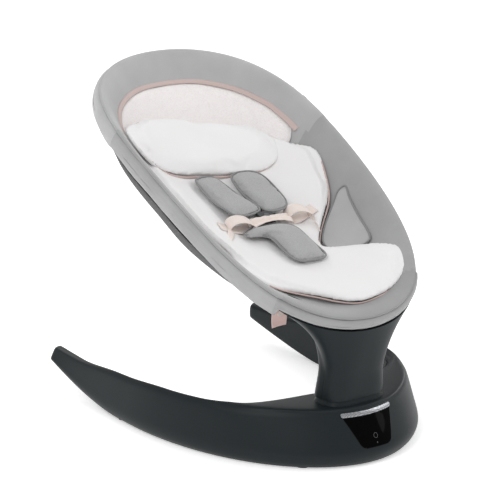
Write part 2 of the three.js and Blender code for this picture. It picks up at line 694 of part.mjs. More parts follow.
// ---------- base ----------
/** The widest line of the crescent: from the front at 0 to a tip at 1 or -1. */
function crescentAt(station) {
  const { halfWidth, tipInset, frontY, sideY, tipY } = crescent;
  const { front } = crescentMesh;
  const side = Math.sign(station) || 1;
  const t = Math.abs(station);
  if (t <= front) {
    const a = (t / front) * (Math.PI / 2);
    const x = halfWidth * Math.sin(a);
    const y = sideY - (sideY - frontY) * Math.cos(a);
    const deep = sideY - frontY;
    const inward = new THREE.Vector2(-x / turnRadius, (sideY - y) / deep).normalize();
    return { x: side * x, y, inX: side * inward.x, inY: inward.y };
  }
  const along = (t - front) / (1 - front);
  const bend = Math.acos(1 - tipInset / halfWidth);
  const x = halfWidth * Math.cos(bend * along);
  return { x: side * x, y: lerp(sideY, tipY, along), inX: -side, inY: 0 };
}

function ridgeHeight(y) {
  const fall = (height, [from, to, level]) => lerp(height, level, smooth(from, to, y));
  return ridgeFalls.reduce(fall, ridge.front);
}

function liftAt(y) {
  const along = Math.max(0, (y - arm.liftStart) / (crescent.tipY - arm.liftStart));
  return baseClearance + arm.tipLift * along ** 1.5;
}

const narrowFrom = crescent.frontY + narrowing.start;
const depthAt = (y) => lerp(arm.housingDepth, arm.width, smooth(narrowFrom, narrowing.end, y));
const leanAt = (y) => lerp(lean.front, lean.arm, smooth(crescent.frontY, lean.end, y));

/** The crescent's cross-section: distance in from the widest line, and height. */
function baseSection(y, skin) {
  const lift = liftAt(y);
  const top = ridgeHeight(y) - skin;
  const tall = top - lift;
  const over = leanAt(y);
  const deep = depthAt(y) - skin;
  const under = skin ? lift - cover.rise : lift;
  const { toe, heel, round } = shellEdge;
  const roof = Math.min(shellEdge.roof, (deep - over) * shellEdge.roofShare);
  return [
    [toe + skin, under], [toe / 3 + skin, lift + 0.1 * tall], [skin, lift + 0.26 * tall],
    [over * 0.3 + skin, lift + 0.5 * tall], [over * 0.95 + skin, lift + 0.88 * tall],
    [over + roof * 0.35 + skin, lift + 0.965 * tall], [over + roof + skin * 0.6, top],
    [deep - 6, top - 1], [deep - 1.5, top - 6], [deep, top - round], [deep, lift + 6], [deep - heel, under],
  ];
}

function baseRings(skin, ends, section = baseSection) {
  const { stations } = crescentMesh;
  return steps(stations).map((i) => {
    const at = crescentAt(lerp(-ends, ends, i / (stations - 1)));
    return section(at.y, skin).map(([o, z]) => vec(at.x + at.inX * o, at.y + at.inY * o, z));
  });
}

/** Rounds the tips: the last rings close in on the middle of the section. */
function withRoundTips(rings) {
  const closeIn = (ring, share, forward) => {
    const middle = ring.reduce((sum, p) => sum.add(p), vec(0, 0, 0)).divideScalar(ring.length);
    return ring.map((p) => p.clone().lerp(middle, share).add(vec(0, forward, 0)));
  };
  const extra = (ring) => tipRounding.map(([share, forward]) => closeIn(ring, share, forward));
  return [...extra(rings[0]).reverse(), ...rings, ...extra(rings.at(-1))];
}

/** The raised foot of the column, whose top lies square to the swing axis. */
function collarLoft(skin) {
  const level = (share, drop) => steps(24).map((j) => {
    const around = (j / 24) * 2 * Math.PI;
    const halfX = lerp(collar.halfWidth, column.halfWidth + collar.lip, share) - skin;
    const halfY = lerp(collar.halfDepth, column.halfDepth + collar.lip, share) - skin;
    const x = halfX * signedPower(Math.cos(around), collar.power);
    const y = halfY * signedPower(Math.sin(around), collar.power);
    const p = onAxis(x, y, -skin);
    return share === 1 ? p : vec(p.x, p.y, lerp(collar.bottomZ - drop, p.z, share));
  });
  return loft(collar.levels.map((share) => level(share, skin)));
}

/** The outline of the control panel, seen from the front, as a bar through the front wall. */
function panelPrism(grow) {
  const { topHalf, bottomHalf, topZ, bottomZ } = panel;
  const { height, start } = panelCorner;
  const low = bottomZ - grow;
  const side = bottomHalf + start + grow;
  const bend = bottomHalf + panelCorner.bend + grow;
  const shape = new THREE.Shape();
  shape.moveTo(-topHalf - grow, topZ + grow);
  shape.lineTo(-side, bottomZ + height);
  shape.quadraticCurveTo(-bend, low, start - bottomHalf, low);
  shape.lineTo(bottomHalf - start, low);
  shape.quadraticCurveTo(bend, low, side, bottomZ + height);
  shape.lineTo(topHalf + grow, topZ + grow);
  return prismToFront(shape);
}

function stripPrism(grow) {
  const { halfWidth, bottomZ, height } = strip;
  const radius = height / 2 + grow;
  const middle = bottomZ + height / 2;
  const shape = new THREE.Shape();
  shape.absarc(halfWidth - height / 2, middle, radius, -Math.PI / 2, Math.PI / 2, false);
  shape.absarc(-halfWidth + height / 2, middle, radius, Math.PI / 2, (3 * Math.PI) / 2, false);
  return prismToFront(shape);
}

function prismToFront(shape) {
  const options = { depth: inlay.reach, bevelEnabled: false, curveSegments: 6 };
  const prism = new THREE.ExtrudeGeometry(shape, options).rotateX(Math.PI / 2);
  return prism.translate(0, crescent.frontY + inlay.behindFront, 0);
}

/** The slice of the front wall between two depths, inside an outline. */
function wallInlay(outline, out, depth) {
  const shifted = (by) => fromSolid(baseBody(0)).translate(0, by, 0);
  return cut(common(outline, shifted(out)), shifted(out + depth));
}

function baseBody(skin) {
  const ends = skin ? 0.985 : 1;
  const rings = baseRings(skin, ends);
  const crescentSolid = solid(loft(skin ? rings : withRoundTips(rings)));
  return crescentSolid.add(solid(collarLoft(skin)));
}

const coverHoles = () => [-1, 1].flatMap((side) => [screw.frontY, screw.rearY].map((y) => [side * screw.x, y]));

function baseShell() {
  const jackHole = rod(jack.radius + gap, -30, 30, 20).rotateX(Math.PI / 2);
  jackHole.translate(jack.x, jack.y + 10, jack.z);
  const shaftHole = rod(shaft.radius + shaft.clearance, -20, 20).applyMatrix4(axisMatrix());
  const tools = [panelPrism(gap), stripPrism(gap), jackHole, shaftHole];
  const hollow = baseBody(0).subtract(baseBody(arm.wall));
  return fromSolid(tools.reduce((rest, tool) => rest.subtract(solid(tool)), hollow));
}

const axisMatrix = () => new THREE.Matrix4().makeRotationFromEuler(axisRotation).setPosition(0, axis.y, axis.z);

function coverSection(y, skin) {
  const low = liftAt(y) + cover.rise;
  const near = shellEdge.toe + skin;
  const far = depthAt(y) - skin - shellEdge.heel;
  return [[near, low], [near, low + cover.thick], [far, low + cover.thick], [far, low]];
}

function baseCover() {
  const plate = loft(baseRings(arm.wall + cover.clearance, cover.reach, coverSection));
  const holes = coverHoles().map(([x, y]) =>
    rod(screw.radius + gap, 0, 2 * screw.length, screw.sides).translate(x, y, 0));
  return cut(plate, ...holes);
}

function addFeet() {
  const top = baseClearance - gap;
  const rear = crescent.halfWidth - (arm.width + shellEdge.toe) / 2;
  const near = crescentAt(foot.station);
  const [frontX, frontY] = [near.x + near.inX * foot.inset, near.y + near.inY * foot.inset];
  const places = [-1, 1].flatMap((side) => [
    [side * frontX, frontY, foot.frontRadius],
    [side * rear, foot.rearY, foot.rearRadius],
  ]);
  places.forEach(([x, y, radius], i) => {
    add(model, `foot_pad_${i + 1}`, rod(radius, 0, top, 20).translate(x, y, 0), looks.rubber);
  });
  coverHoles().forEach(([x, y], i) => {
    const from = baseClearance - screw.head;
    const body = rod(screw.radius, from, from + screw.length, screw.sides).translate(x, y, 0);
    add(model, `cover_screw_${i + 1}`, body, looks.steel);
  });
}

function addElectronics() {
  const slope = Math.atan2(lean.front * 0.95, (ridge.front - baseClearance) * 0.62);
  const plate = block(board.width, board.thick, board.height).rotateX(-slope);
  plate.translate(0, crescent.frontY + lean.front / 2 + board.behind, (panel.topZ + panel.bottomZ) / 2);
  add(model, "control_board", plate, looks.board);
  const floor = ballast.z + ballast.thick + gap;
  const cone = rod(speaker.radius, floor, floor + speaker.height).translate(speaker.x, speaker.y, 0);
  add(model, "speaker", cone, looks.innerPlastic);
  const barrel = ring(jack.radius, jack.bore, -jack.length, 0).rotateX(Math.PI / 2);
  add(model, "power_jack", barrel, looks.rubber).position.set(jack.x, jack.y, jack.z);
}

function addBase() {
  add(model, "base_shell", baseShell(), looks.plastic);
  add(model, "base_cover", baseCover(), looks.innerPlastic);
  add(model, "control_panel", wallInlay(panelPrism(0), 0, panel.depth), looks.gloss);
  add(model, "panel_strip", wallInlay(stripPrism(0), -strip.proud, strip.depth), looks.silver);
  const { width, depth, thick, y, z } = ballast;
  add(model, "ballast_plate", block(width, depth, thick, 0, y, z + thick / 2), looks.steel);
  addElectronics();
  addFeet();
}

addBase();
addDrive();
addColumn();
addFrame();
addCover();
addCushions();
addStraps();
addBuckle();

export default model;
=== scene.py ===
import math

import bpy
from mathutils import Euler, Matrix, Vector, noise


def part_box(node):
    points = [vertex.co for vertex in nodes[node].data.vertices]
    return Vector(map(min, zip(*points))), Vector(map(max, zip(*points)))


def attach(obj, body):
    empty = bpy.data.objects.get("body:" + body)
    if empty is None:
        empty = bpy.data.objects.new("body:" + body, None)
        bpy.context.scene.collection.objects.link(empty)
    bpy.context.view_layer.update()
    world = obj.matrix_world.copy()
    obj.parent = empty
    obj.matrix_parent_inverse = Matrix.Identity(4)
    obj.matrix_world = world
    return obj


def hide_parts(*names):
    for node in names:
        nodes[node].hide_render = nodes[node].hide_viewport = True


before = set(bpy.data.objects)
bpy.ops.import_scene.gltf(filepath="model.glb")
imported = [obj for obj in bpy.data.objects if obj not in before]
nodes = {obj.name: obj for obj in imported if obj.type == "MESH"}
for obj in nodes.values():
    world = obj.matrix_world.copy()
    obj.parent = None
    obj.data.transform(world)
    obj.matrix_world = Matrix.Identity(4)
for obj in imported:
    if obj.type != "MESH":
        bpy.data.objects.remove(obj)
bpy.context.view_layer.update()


# small tools

def clearSelection():
    if bpy.context.object and bpy.context.object.mode != "OBJECT":
        bpy.ops.object.mode_set(mode="OBJECT")
    bpy.ops.object.select_all(action="DESELECT")


def pick(piece):
    clearSelection()
    piece.select_set(True)
    bpy.context.view_layer.objects.active = piece
    return piece


def lerp(a, b, share):
    return a + (b - a) * share


def smooth(low, high, x):
    share = min(1.0, max(0.0, (x - low) / (high - low)))
    return share * share * (3 - 2 * share)


def bump(x, middle, width):
    return math.exp(-(((x - middle) / width) ** 2))


def signedPower(x, power):
    return math.copysign(abs(x) ** power, x)


def applyModifiers(piece):
    pick(piece)
    for modifier in list(piece.modifiers):
        bpy.ops.object.modifier_apply(modifier=modifier.name)
    return piece


def mergeAndTurnOut(piece, distance=0.00005):
    pick(piece)
    bpy.ops.object.mode_set(mode="EDIT")
    bpy.ops.mesh.select_all(action="SELECT")
    bpy.ops.mesh.remove_doubles(threshold=distance)
    bpy.ops.mesh.normals_make_consistent(inside=False)
    bpy.ops.object.mode_set(mode="OBJECT")
    return piece


def gridPiece(name, across, along, place, merge=True):
    # a grid primitive whose points go where place(u, v) says, u and v from 0 to 1
    clearSelection()
    bpy.ops.mesh.primitive_grid_add(x_subdivisions=across, y_subdivisions=along, size=1)
    piece = bpy.context.object
    piece.name = name
    for vertex in piece.data.vertices:
        vertex.co = place(vertex.co.x + 0.5, vertex.co.y + 0.5)
    if merge:
        mergeAndTurnOut(piece)
    bpy.ops.object.shade_smooth()
    return piece


def thicken(piece, wall, offset=-1.0):
    pick(piece)
    modifier = piece.modifiers.new("wall", "SOLIDIFY")
    modifier.thickness = wall
    modifier.offset = offset
    return applyModifiers(piece)


def roundEdges(piece, width, segments=2, angle=40):
    pick(piece)
    modifier = piece.modifiers.new("edges", "BEVEL")
    modifier.width = width
    modifier.segments = segments
    modifier.limit_method = "ANGLE"
    modifier.angle_limit = math.radians(angle)
    return applyModifiers(piece)


def softShade(piece, angle=35):
    pick(piece)
    bpy.ops.object.shade_smooth_by_angle(angle=math.radians(angle))
    return piece


def finish(piece, material, body, slotName, *replaced):
    piece.data.materials.clear()
    piece.data.materials.append(material)
    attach(piece, body)
    if replaced:
        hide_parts(*replaced)
    return piece


# shader tools

class Wire:
    # a socket that can be used in plain maths

    def __init__(self, tree, socket):
        self.tree = tree
        self.socket = socket

    def maths(self, operation, first, second=None):
        node = self.tree.nodes.new("ShaderNodeMath")
        node.operation = operation
        for place, value in enumerate([first, second]):
            if isinstance(value, Wire):
                self.tree.links.new(value.socket, node.inputs[place])
            elif value is not None:
                node.inputs[place].default_value = value
        return Wire(self.tree, node.outputs[0])

    def __add__(self, other):
        return self.maths("ADD", self, other)

    def __radd__(self, other):
        return self.maths("ADD", other, self)

    def __sub__(self, other):
        return self.maths("SUBTRACT", self, other)

    def __rsub__(self, other):
        return self.maths("SUBTRACT", other, self)

    def __mul__(self, other):
        return self.maths("MULTIPLY", self, other)

    def __rmul__(self, other):
        return self.maths("MULTIPLY", other, self)

    def __truediv__(self, other):
        return self.maths("DIVIDE", self, other)

    def below(self, limit):
        return self.maths("LESS_THAN", self, limit)

    def largest(self, other):
        return self.maths("MAXIMUM", self, other)

    def smallest(self, other):
        return self.maths("MINIMUM", self, other)

    def clamped(self):
        return self.largest(0.0).smallest(1.0)


class Finish:
    # one material and the nodes that make it

    def __init__(self, name, roughness, **fixed):
        self.material = bpy.data.materials.new(name)
        self.material.use_nodes = True
        self.tree = self.material.node_tree
        self.shader = self.tree.nodes["Principled BSDF"]
        self.shader.inputs["Roughness"].default_value = roughness
        for socket, value in fixed.items():
            self.shader.inputs[socket.replace("_", " ")].default_value = value

    def add(self, kind, settings=None, output=0, **values):
        node = self.tree.nodes.new(kind)
        for key, value in (settings or {}).items():
            setattr(node, key, value)
        for key, value in values.items():
            byNumber = key.startswith("in") and key[2:].isdigit()
            socket = node.inputs[int(key[2:]) if byNumber else key.replace("_", " ")]
            if isinstance(value, Wire):
                self.tree.links.new(value.socket, socket)
            else:
                socket.default_value = value
        return Wire(self.tree, node.outputs[output])

    def place(self):
        return self.add("ShaderNodeTexCoord", output=3)

    def stretched(self, scale, start=None):
        return self.add("ShaderNodeMapping", Vector=start or self.place(), Scale=scale)

    def noise(self, scale, detail=2.0, start=None):
        return self.add("ShaderNodeTexNoise", Vector=start or self.place(), Scale=scale, Detail=detail)

    def cells(self, scale, start=None):
        return self.add("ShaderNodeTexVoronoi", Vector=start or self.place(), Scale=scale)

    def mix(self, share, first, second):
        kind = {"data_type": "RGBA"}
        return self.add("ShaderNodeMix", kind, output=2, in0=share, in6=first, in7=second)

    def color(self, value):
        self.tree.links.new(value.socket, self.shader.inputs["Base Color"])
        return self

    def rough(self, value):
        self.tree.links.new(value.socket, self.shader.inputs["Roughness"])
        return self

    def relief(self, height, distance, strength=1.0):
        raised = self.add("ShaderNodeBump", Height=height, Distance=distance, Strength=strength)
        self.tree.links.new(raised.socket, self.shader.inputs["Normal"])
        return self


def shade(red, green, blue):
    return (red, green, blue, 1.0)


velvetLook = {
    "light": shade(0.45, 0.45, 0.452), "dark": shade(0.30, 0.30, 0.302), "pile": 1500, "patch": 14,
}
heatherLook = {"light": shade(0.51, 0.51, 0.512), "dark": shade(0.32, 0.32, 0.322), "fibre": 520}
whiteLook = {"light": shade(0.86, 0.855, 0.855), "dark": shade(0.79, 0.775, 0.775), "knit": 620}
meshLook = {"thread": shade(0.93, 0.895, 0.885), "hole": shade(0.82, 0.765, 0.755), "count": 700}
plasticLook = {"base": shade(0.010, 0.014, 0.016), "worn": shade(0.014, 0.019, 0.021), "grain": 1800}


def toned(color, lighter):
    return shade(*(part * lighter for part in color[:3]))


def velvet(name, lighter):
    look = Finish(name, 0.9, Sheen_Weight=0.35, Sheen_Roughness=0.5, Specular_IOR_Level=0.2)
    patches = look.noise(velvetLook["patch"], 4.0)
    pile = look.noise(velvetLook["pile"], 2.0)
    share = (patches * 0.7 + pile * 0.5 - 0.1).clamped()
    look.color(look.mix(share, toned(velvetLook["dark"], lighter), toned(velvetLook["light"], lighter)))
    return look.relief(pile, 0.0006, 0.5).material


def bagCloth():
    look = Finish("bagCloth", 0.85, Specular_IOR_Level=0.2)
    weave = look.noise(900, 2.0)
    look.color(look.mix(weave, shade(0.10, 0.10, 0.102), shade(0.17, 0.17, 0.172)))
    return look.relief(weave, 0.0005, 0.5).material


def heather():
    look = Finish("heatherJersey", 0.92, Sheen_Weight=0.25, Specular_IOR_Level=0.2)
    fibre = look.noise(heatherLook["fibre"], 3.0, look.stretched((1.0, 3.0, 3.0)))
    fine = look.noise(heatherLook["fibre"] * 3, 2.0)
    share = ((fibre - 0.35) * 2.2).clamped()
    look.color(look.mix(share, heatherLook["dark"], heatherLook["light"]))
    return look.relief(fine * 0.6 + fibre * 0.4, 0.0006, 0.6).material


def whiteKnit():
    look = Finish("whiteKnit", 0.85, Sheen_Weight=0.3, Sheen_Roughness=0.4, Specular_IOR_Level=0.25)
    patches = look.noise(9, 3.0)
    knit = look.noise(whiteLook["knit"], 2.0, look.stretched((1.0, 1.0, 2.2)))
    look.color(look.mix((patches * 0.8 + knit * 0.3).clamped(), whiteLook["dark"], whiteLook["light"]))
    return look.relief(knit, 0.0005, 0.5).material


def openMesh():
    look = Finish("openMesh", 0.8, Sheen_Weight=0.2, Specular_IOR_Level=0.2)
    holes = look.cells(meshLook["count"]).below(0.34)
    look.color(look.mix(holes, meshLook["thread"], meshLook["hole"]))
    return look.relief(1 - holes, 0.0005, 0.8).material


def satin(name, light, dark, roughness=0.42):
    look = Finish(name, roughness, Sheen_Weight=0.3, Specular_IOR_Level=0.5)
    rib = look.noise(900, 2.0, look.stretched((1.0, 6.0, 1.0)))
    look.color(look.mix(rib, dark, light))
    return look.relief(rib, 0.0003, 0.4).material


def darkPlastic():
    look = Finish("charcoalPlastic", 0.42, Specular_IOR_Level=0.16)
    grain = look.noise(plasticLook["grain"], 2.0)
    patches = look.noise(7, 3.0)
    look.color(look.mix(patches, plasticLook["base"], plasticLook["worn"]))
    look.rough((patches * 0.1 + grain * 0.06 + 0.34).clamped())
    return look.relief(grain, 0.00012, 0.5).material


def plainPlastic(name, color, roughness=0.5):
    look = Finish(name, roughness)
    grain = look.noise(1200, 2.0)
    lighter = shade(*(min(1.0, part * 1.25 + 0.004) for part in color[:3]))
    look.color(look.mix(grain, color, lighter))
    return look.relief(grain, 0.0001, 0.4).material


def glossBlack():
    look = Finish("glossPanel", 0.12, Specular_IOR_Level=0.03)
    haze = look.noise(60, 3.0)
    look.color(look.mix(haze, shade(0.0008, 0.0008, 0.001), shade(0.002, 0.002, 0.0022)))
    return look.rough((haze * 0.05 + 0.04).clamped()).material


def metal(name, color, roughness):
    look = Finish(name, roughness, Metallic=1.0)
    brush = look.noise(700, 2.0, look.stretched((0.2, 1.0, 4.0)))
    look.color(look.mix(brush, toned(color, 0.75), color))
    return look.rough((brush * 0.15 + roughness - 0.07).clamped()).material


def perforated():
    look = Finish("perforatedStrip", 0.3, Metallic=0.9)
    rows = look.add("ShaderNodeTexVoronoi", {"distance": "EUCLIDEAN"}, Vector=look.place(), Scale=620.0,
                    Randomness=0.0)
    holes = rows.below(0.36)
    look.color(look.mix(holes, shade(0.40, 0.41, 0.43), shade(0.06, 0.06, 0.065)))
    return look.relief(1 - holes, 0.0003, 0.8).material


def circuitBoard():
    look = Finish("circuitBoard", 0.5)
    tracks = look.cells(180).below(0.3)
    look.color(look.mix(tracks, shade(0.02, 0.14, 0.06), shade(0.30, 0.26, 0.10)))
    return look.material


finishes = {
    "velvet": velvet("velvetGrey", 0.95),
    "velvetLight": velvet("velvetLight", 1.16),
    # the foot panel's velvet, darkened as painted shade because the foot faces up to the light
    "velvetFootShaded": velvet("velvetFootShaded", 0.84),
    "bag": bagCloth(),
    "heather": heather(),
    "white": whiteKnit(),
    "mesh": openMesh(),
    "pink": satin("pinkBinding", shade(0.62, 0.47, 0.44), shade(0.50, 0.38, 0.355), 0.7),
    "tape": satin("pinkTape", shade(0.60, 0.475, 0.45), shade(0.51, 0.405, 0.38), 0.7),
    "tag": satin("tagPink", shade(0.80, 0.585, 0.55), shade(0.70, 0.50, 0.47), 0.7),
    "webbing": satin("creamSatin", shade(0.86, 0.77, 0.72), shade(0.74, 0.64, 0.59)),
    "piping": satin("greyPiping", shade(0.27, 0.27, 0.274), shade(0.19, 0.19, 0.194), 0.8),
    "plastic": darkPlastic(),
    "inner": plainPlastic("innerPlastic", shade(0.045, 0.048, 0.05)),
    "button": plainPlastic("buttonPlastic", shade(0.10, 0.10, 0.105), 0.45),
    "rubber": plainPlastic("rubber", shade(0.015, 0.016, 0.017), 0.8),
    "gloss": glossBlack(),
    "steel": metal("steel", shade(0.5, 0.51, 0.52), 0.35),
    "strip": perforated(),
    "board": circuitBoard(),
}
print("materials made")

# the seat's own frame: x across, v up the seat from the foot, n off it, in metres

depthShift = -0.2767  # the column axis, from the middle of the object
seat = {
    "length": 0.760, "width": 0.425, "tilt": math.radians(27.5), "footY": -0.052, "footZ": 0.258, "power": 2.05,
}
rimShape = {"taper": 0.096, "fullness": 0.29, "rise": 0.0218}
sling = {"footDepth": 0.040, "depth": 0.098}
alongSeat = Vector((0, math.cos(seat["tilt"]), math.sin(seat["tilt"])))
offSeat = Vector((0, -math.sin(seat["tilt"]), math.cos(seat["tilt"])))
footPoint = Vector((0, seat["footY"] + depthShift, seat["footZ"]))


def seatPoint(x, v, n):
    return footPoint + Vector((x, 0, 0)) + alongSeat * v + offSeat * n


def widthAt(share):
    return seat["width"] / 2 * (1 + rimShape["taper"] * share + rimShape["fullness"] * share ** 2)


def rimRise(share):
    return rimShape["rise"] * (1 - share ** 2)


def rimAt(angle):
    share = -signedPower(math.cos(angle), 2 / seat["power"])
    x = signedPower(math.sin(angle), 2 / seat["power"]) * widthAt(share)
    return x, (share + 1) * seat["length"] / 2, rimRise(share)


def rimOut(angle):
    ahead = rimAt(angle + 0.002)
    behind = rimAt(angle - 0.002)
    out = Vector((ahead[1] - behind[1], behind[0] - ahead[0]))
    return out.normalized()


def besideRim(angle, out, up):
    x, v, n = rimAt(angle)
    side = rimOut(angle)
    return seatPoint(x + side.x * out, v + side.y * out, n + up)


def reach(x, v):
    share = 2 * v / seat["length"] - 1
    side = abs(x) / widthAt(share)
    return min(1.0, (abs(share) ** seat["power"] + side ** seat["power"]) ** (1 / seat["power"]))


def sheetHeight(x, v):
    share = 2 * v / seat["length"] - 1
    depth = lerp(sling["footDepth"], sling["depth"], smooth(-0.95, -0.15, share))
    return rimRise(share) - depth * (1 - reach(x, v) ** 3)


def onSheet(x, v, lift):
    return seatPoint(x, v, sheetHeight(x, v) + lift)


def offSheet(x, v, lift):
    # lifted square to the hung cloth, for steep side walls
    step = 0.002
    slopeX = (sheetHeight(x + step, v) - sheetHeight(x - step, v)) / (2 * step)
    slopeV = (sheetHeight(x, v + step) - sheetHeight(x, v - step)) / (2 * step)
    square = Vector((-slopeX, -slopeV, 1)).normalized()
    return seatPoint(x + square.x * lift, v + square.y * lift, sheetHeight(x, v) + square.z * lift)


# camera, lights and floor

view = {"turn": 36.0, "rise": 15.0, "lens": 172.8, "right": 6.14 / 2400, "up": 66.8 / 2400}
eye = Vector((-2.50107, -3.15750 + depthShift, 1.57388))


def addCamera():
    turn, rise = math.radians(view["turn"]), math.radians(view["rise"])
    forward = Vector((math.sin(turn) * math.cos(rise), math.cos(turn) * math.cos(rise), -math.sin(rise)))
    right = Vector((math.cos(turn), -math.sin(turn), 0))
    up = right.cross(forward)
    aim = (forward - right * view["right"] - up * view["up"]).normalized()
    side = aim.cross(Vector((0, 0, 1))).normalized()
    top = side.cross(aim)
    bpy.ops.object.camera_add()
    camera = bpy.context.object
    camera.name = "studioCamera"
    camera.matrix_world = Matrix((
        (side.x, top.x, -aim.x, eye.x), (side.y, top.y, -aim.y, eye.y),
        (side.z, top.z, -aim.z, eye.z), (0, 0, 0, 1)))
    camera.data.lens = view["lens"]
    camera.data.sensor_width = 36
    camera.data.clip_end = 50
    bpy.context.scene.camera = camera


lightAim = Vector((0, 0, 0.3))
studio = {"world": 0.62, "floorGlow": 0.42, "floorSize": 14}
lamps = {
    "keyLight": {"at": (-2.4, -1.2, 2.6), "size": 1.6, "power": 36},
    "fillLight": {"at": (2.8, -1.4, 2.2), "size": 2.2, "power": 34},
    "backLight": {"at": (0.4, 2.8, 2.6), "size": 1.6, "power": 26},
}


def addLights():
    for name, lamp in lamps.items():
        bpy.ops.object.light_add(type="AREA", location=lamp["at"])
        light = bpy.context.object
        light.name = name
        light.data.size = lamp["size"]
        light.data.energy = lamp["power"]
        towards = lightAim - Vector(lamp["at"])
        light.rotation_euler = towards.to_track_quat("-Z", "Y").to_euler()
    world = bpy.data.worlds.new("studio")
    world.use_nodes = True
    world.node_tree.nodes["Background"].inputs[0].default_value = (1.0, 1.0, 1.0, 1.0)
    world.node_tree.nodes["Background"].inputs[1].default_value = studio["world"]
    bpy.context.scene.world = world
    bpy.context.scene.view_settings.view_transform = "Standard"


def addFloor():
    clearSelection()
    bpy.ops.mesh.primitive_plane_add(size=studio["floorSize"])
    floor = bpy.context.object
    floor.name = "studioFloor"
    look = Finish("paleFloor", 0.9, Specular_IOR_Level=0.1)
    cloud = look.noise(0.6, 2.0)
    look.color(look.mix(cloud, shade(0.97, 0.97, 0.97), shade(0.98, 0.98, 0.98)))
    look.shader.inputs["Emission Color"].default_value = shade(1, 1, 1)
    look.shader.inputs["Emission Strength"].default_value = studio["floorGlow"]
    floor.data.materials.append(look.material)


addCamera()
addLights()
addFloor()
print("camera, lights and floor made")

# the rim: a cloth sleeve round the frame tube

sleeveStyle = {
    "stations": 360, "around": 40, "squareness": 2.6, "thick": 0.0108, "top": 0.0098, "low": -0.028,
    "footLow": -0.007, "seamAt": 0.42, "lowSeamAt": 2 * math.pi - 0.9, "seamDepth": 0.0012,
    "hoodSeam": {"right": 1.85, "left": 2.01}, "footSeam": 0.66, "edge": 0.004, "step": 0.0014,
    "puckers": 190, "puckerDepth": 0.00035,
}


def fromFoot(turn):
    return turn if turn <= math.pi else 2 * math.pi - turn


def hoodSeamAt(angle):
    # the hood's seam lies a little further up on the left
    return sleeveStyle["hoodSeam"]["right" if angle <= math.pi else "left"]


def hoodShare(angle):
    seam = hoodSeamAt(angle)
    return smooth(seam - sleeveStyle["edge"], seam + sleeveStyle["edge"], fromFoot(angle))


def footShare(angle):
    seam = sleeveStyle["footSeam"]
    return 1 - smooth(seam - sleeveStyle["edge"], seam + sleeveStyle["edge"], fromFoot(angle))


def coverStep(angle):
    # the hood and the foot panel are a second layer of cloth
    return sleeveStyle["step"] * (hoodShare(angle) + footShare(angle))


def sleevePlace(u, w):
    angle = u * 2 * math.pi
    around = w * 2 * math.pi
    power = 2 / sleeveStyle["squareness"]
    turned = fromFoot(angle)
    low = lerp(sleeveStyle["low"], sleeveStyle["footLow"], footShare(angle))
    middle, half = (sleeveStyle["top"] + low) / 2, (sleeveStyle["top"] - low) / 2
    grooves = bump(around, sleeveStyle["seamAt"], 0.07) + bump(around, sleeveStyle["lowSeamAt"], 0.06)
    seams = sleeveStyle["seamDepth"] * grooves
    seams *= 1 - 0.7 * min(1.0, coverStep(angle) / sleeveStyle["step"])
    waver = 3 * noise.noise(Vector((turned * 30, 0, 0)))
    pucker = sleeveStyle["puckerDepth"] * math.sin(turned * sleeveStyle["puckers"] + waver)
    pucker *= bump(around, sleeveStyle["seamAt"], 0.35)
    soft = 0.0008 * noise.noise(Vector((angle * 7, around * 1.5, 3.0)))
    soft += 0.0004 * noise.noise(Vector((angle * 26, around * 3, 9.0)))
    extra = soft + pucker + coverStep(angle) - seams
    out = (sleeveStyle["thick"] + extra) * signedPower(math.cos(around), power)
    return besideRim(angle, out, middle + (half + extra) * signedPower(math.sin(around), power))


def twoTones(piece):
    # the hood in a lighter velvet, and the foot panel in a darker velvet as painted shade, since the foot faces
    # the light
    piece.data.materials.append(finishes["velvetLight"])
    piece.data.materials.append(finishes["velvetFootShaded"])
    footTo = rimAt(sleeveStyle["footSeam"])[1]
    for face in piece.data.polygons:
        x, v, n = seatCoords(face.center)
        seam = sleeveStyle["hoodSeam"]["right" if x > 0 else "left"]
        if v > rimAt(seam)[1]:
            face.material_index = 1
        elif v < footTo:
            face.material_index = 2
    return piece


def seatCoords(point):
    away = point - footPoint
    return away.x, away.dot(alongSeat), away.dot(offSeat)


rimSleeve = gridPiece("rimSleeve", sleeveStyle["stations"], sleeveStyle["around"], sleevePlace)
finish(rimSleeve, finishes["velvet"], "seat", "grey_fabric", "rim_sleeve")
twoTones(rimSleeve)

# the hung bucket of the seat

slingStyle = {
    "around": 240, "rings": 46, "wall": 0.0020, "inset": 0.0135, "leave": 0.84, "sheetShare": 0.7,
    "hemOut": 0.005, "hemUp": 0.0124,
}


def slingSpot(turn, w):
    x, v, n = rimAt(turn)
    side = rimOut(turn)
    edgeX, edgeV = x - side.x * slingStyle["inset"], v - side.y * slingStyle["inset"]
    middle = seat["length"] / 2
    return edgeX * w, middle + (edgeV - middle) * w


def slingSheet(turn, w):
    x, v = slingSpot(turn, w)
    crease = 0.0016 * noise.noise(Vector((x * 22, v * 9, 1.0))) * smooth(0.1, 0.5, w)
    return onSheet(x, v, crease)


def slingPlace(u, share):
    # up the sheet, then over the top of the rim in one sweep
    turn = u * 2 * math.pi
    leave = slingStyle["leave"]
    ends = slingStyle["sheetShare"]
    if share <= ends:
        return slingSheet(turn, (share / ends) ** 0.85 * leave)
    t = (share - ends) / (1 - ends)
    start = slingSheet(turn, leave)
    ahead = start - slingSheet(turn, leave - 0.03)
    hem = coverStep(turn)
    end = besideRim(turn, slingStyle["hemOut"], slingStyle["hemUp"] + hem)
    before = besideRim(turn, -0.016, slingStyle["hemUp"] + hem + 0.001)
    lift = start + ahead.normalized() * 0.026
    left = 1 - t
    return start * left ** 3 + lift * 3 * t * left ** 2 + before * 3 * t * t * left + end * t ** 3


seatSling = gridPiece("seatSling", slingStyle["around"], slingStyle["rings"], slingPlace)
thicken(seatSling, slingStyle["wall"], 0)
finish(seatSling, finishes["velvet"], "seat", "grey_fabric", "seat_sling")
twoTones(seatSling)


bagStyle = {"around": 200, "rings": 30, "bulge": 0.026, "reach": 0.97, "below": 0.006}


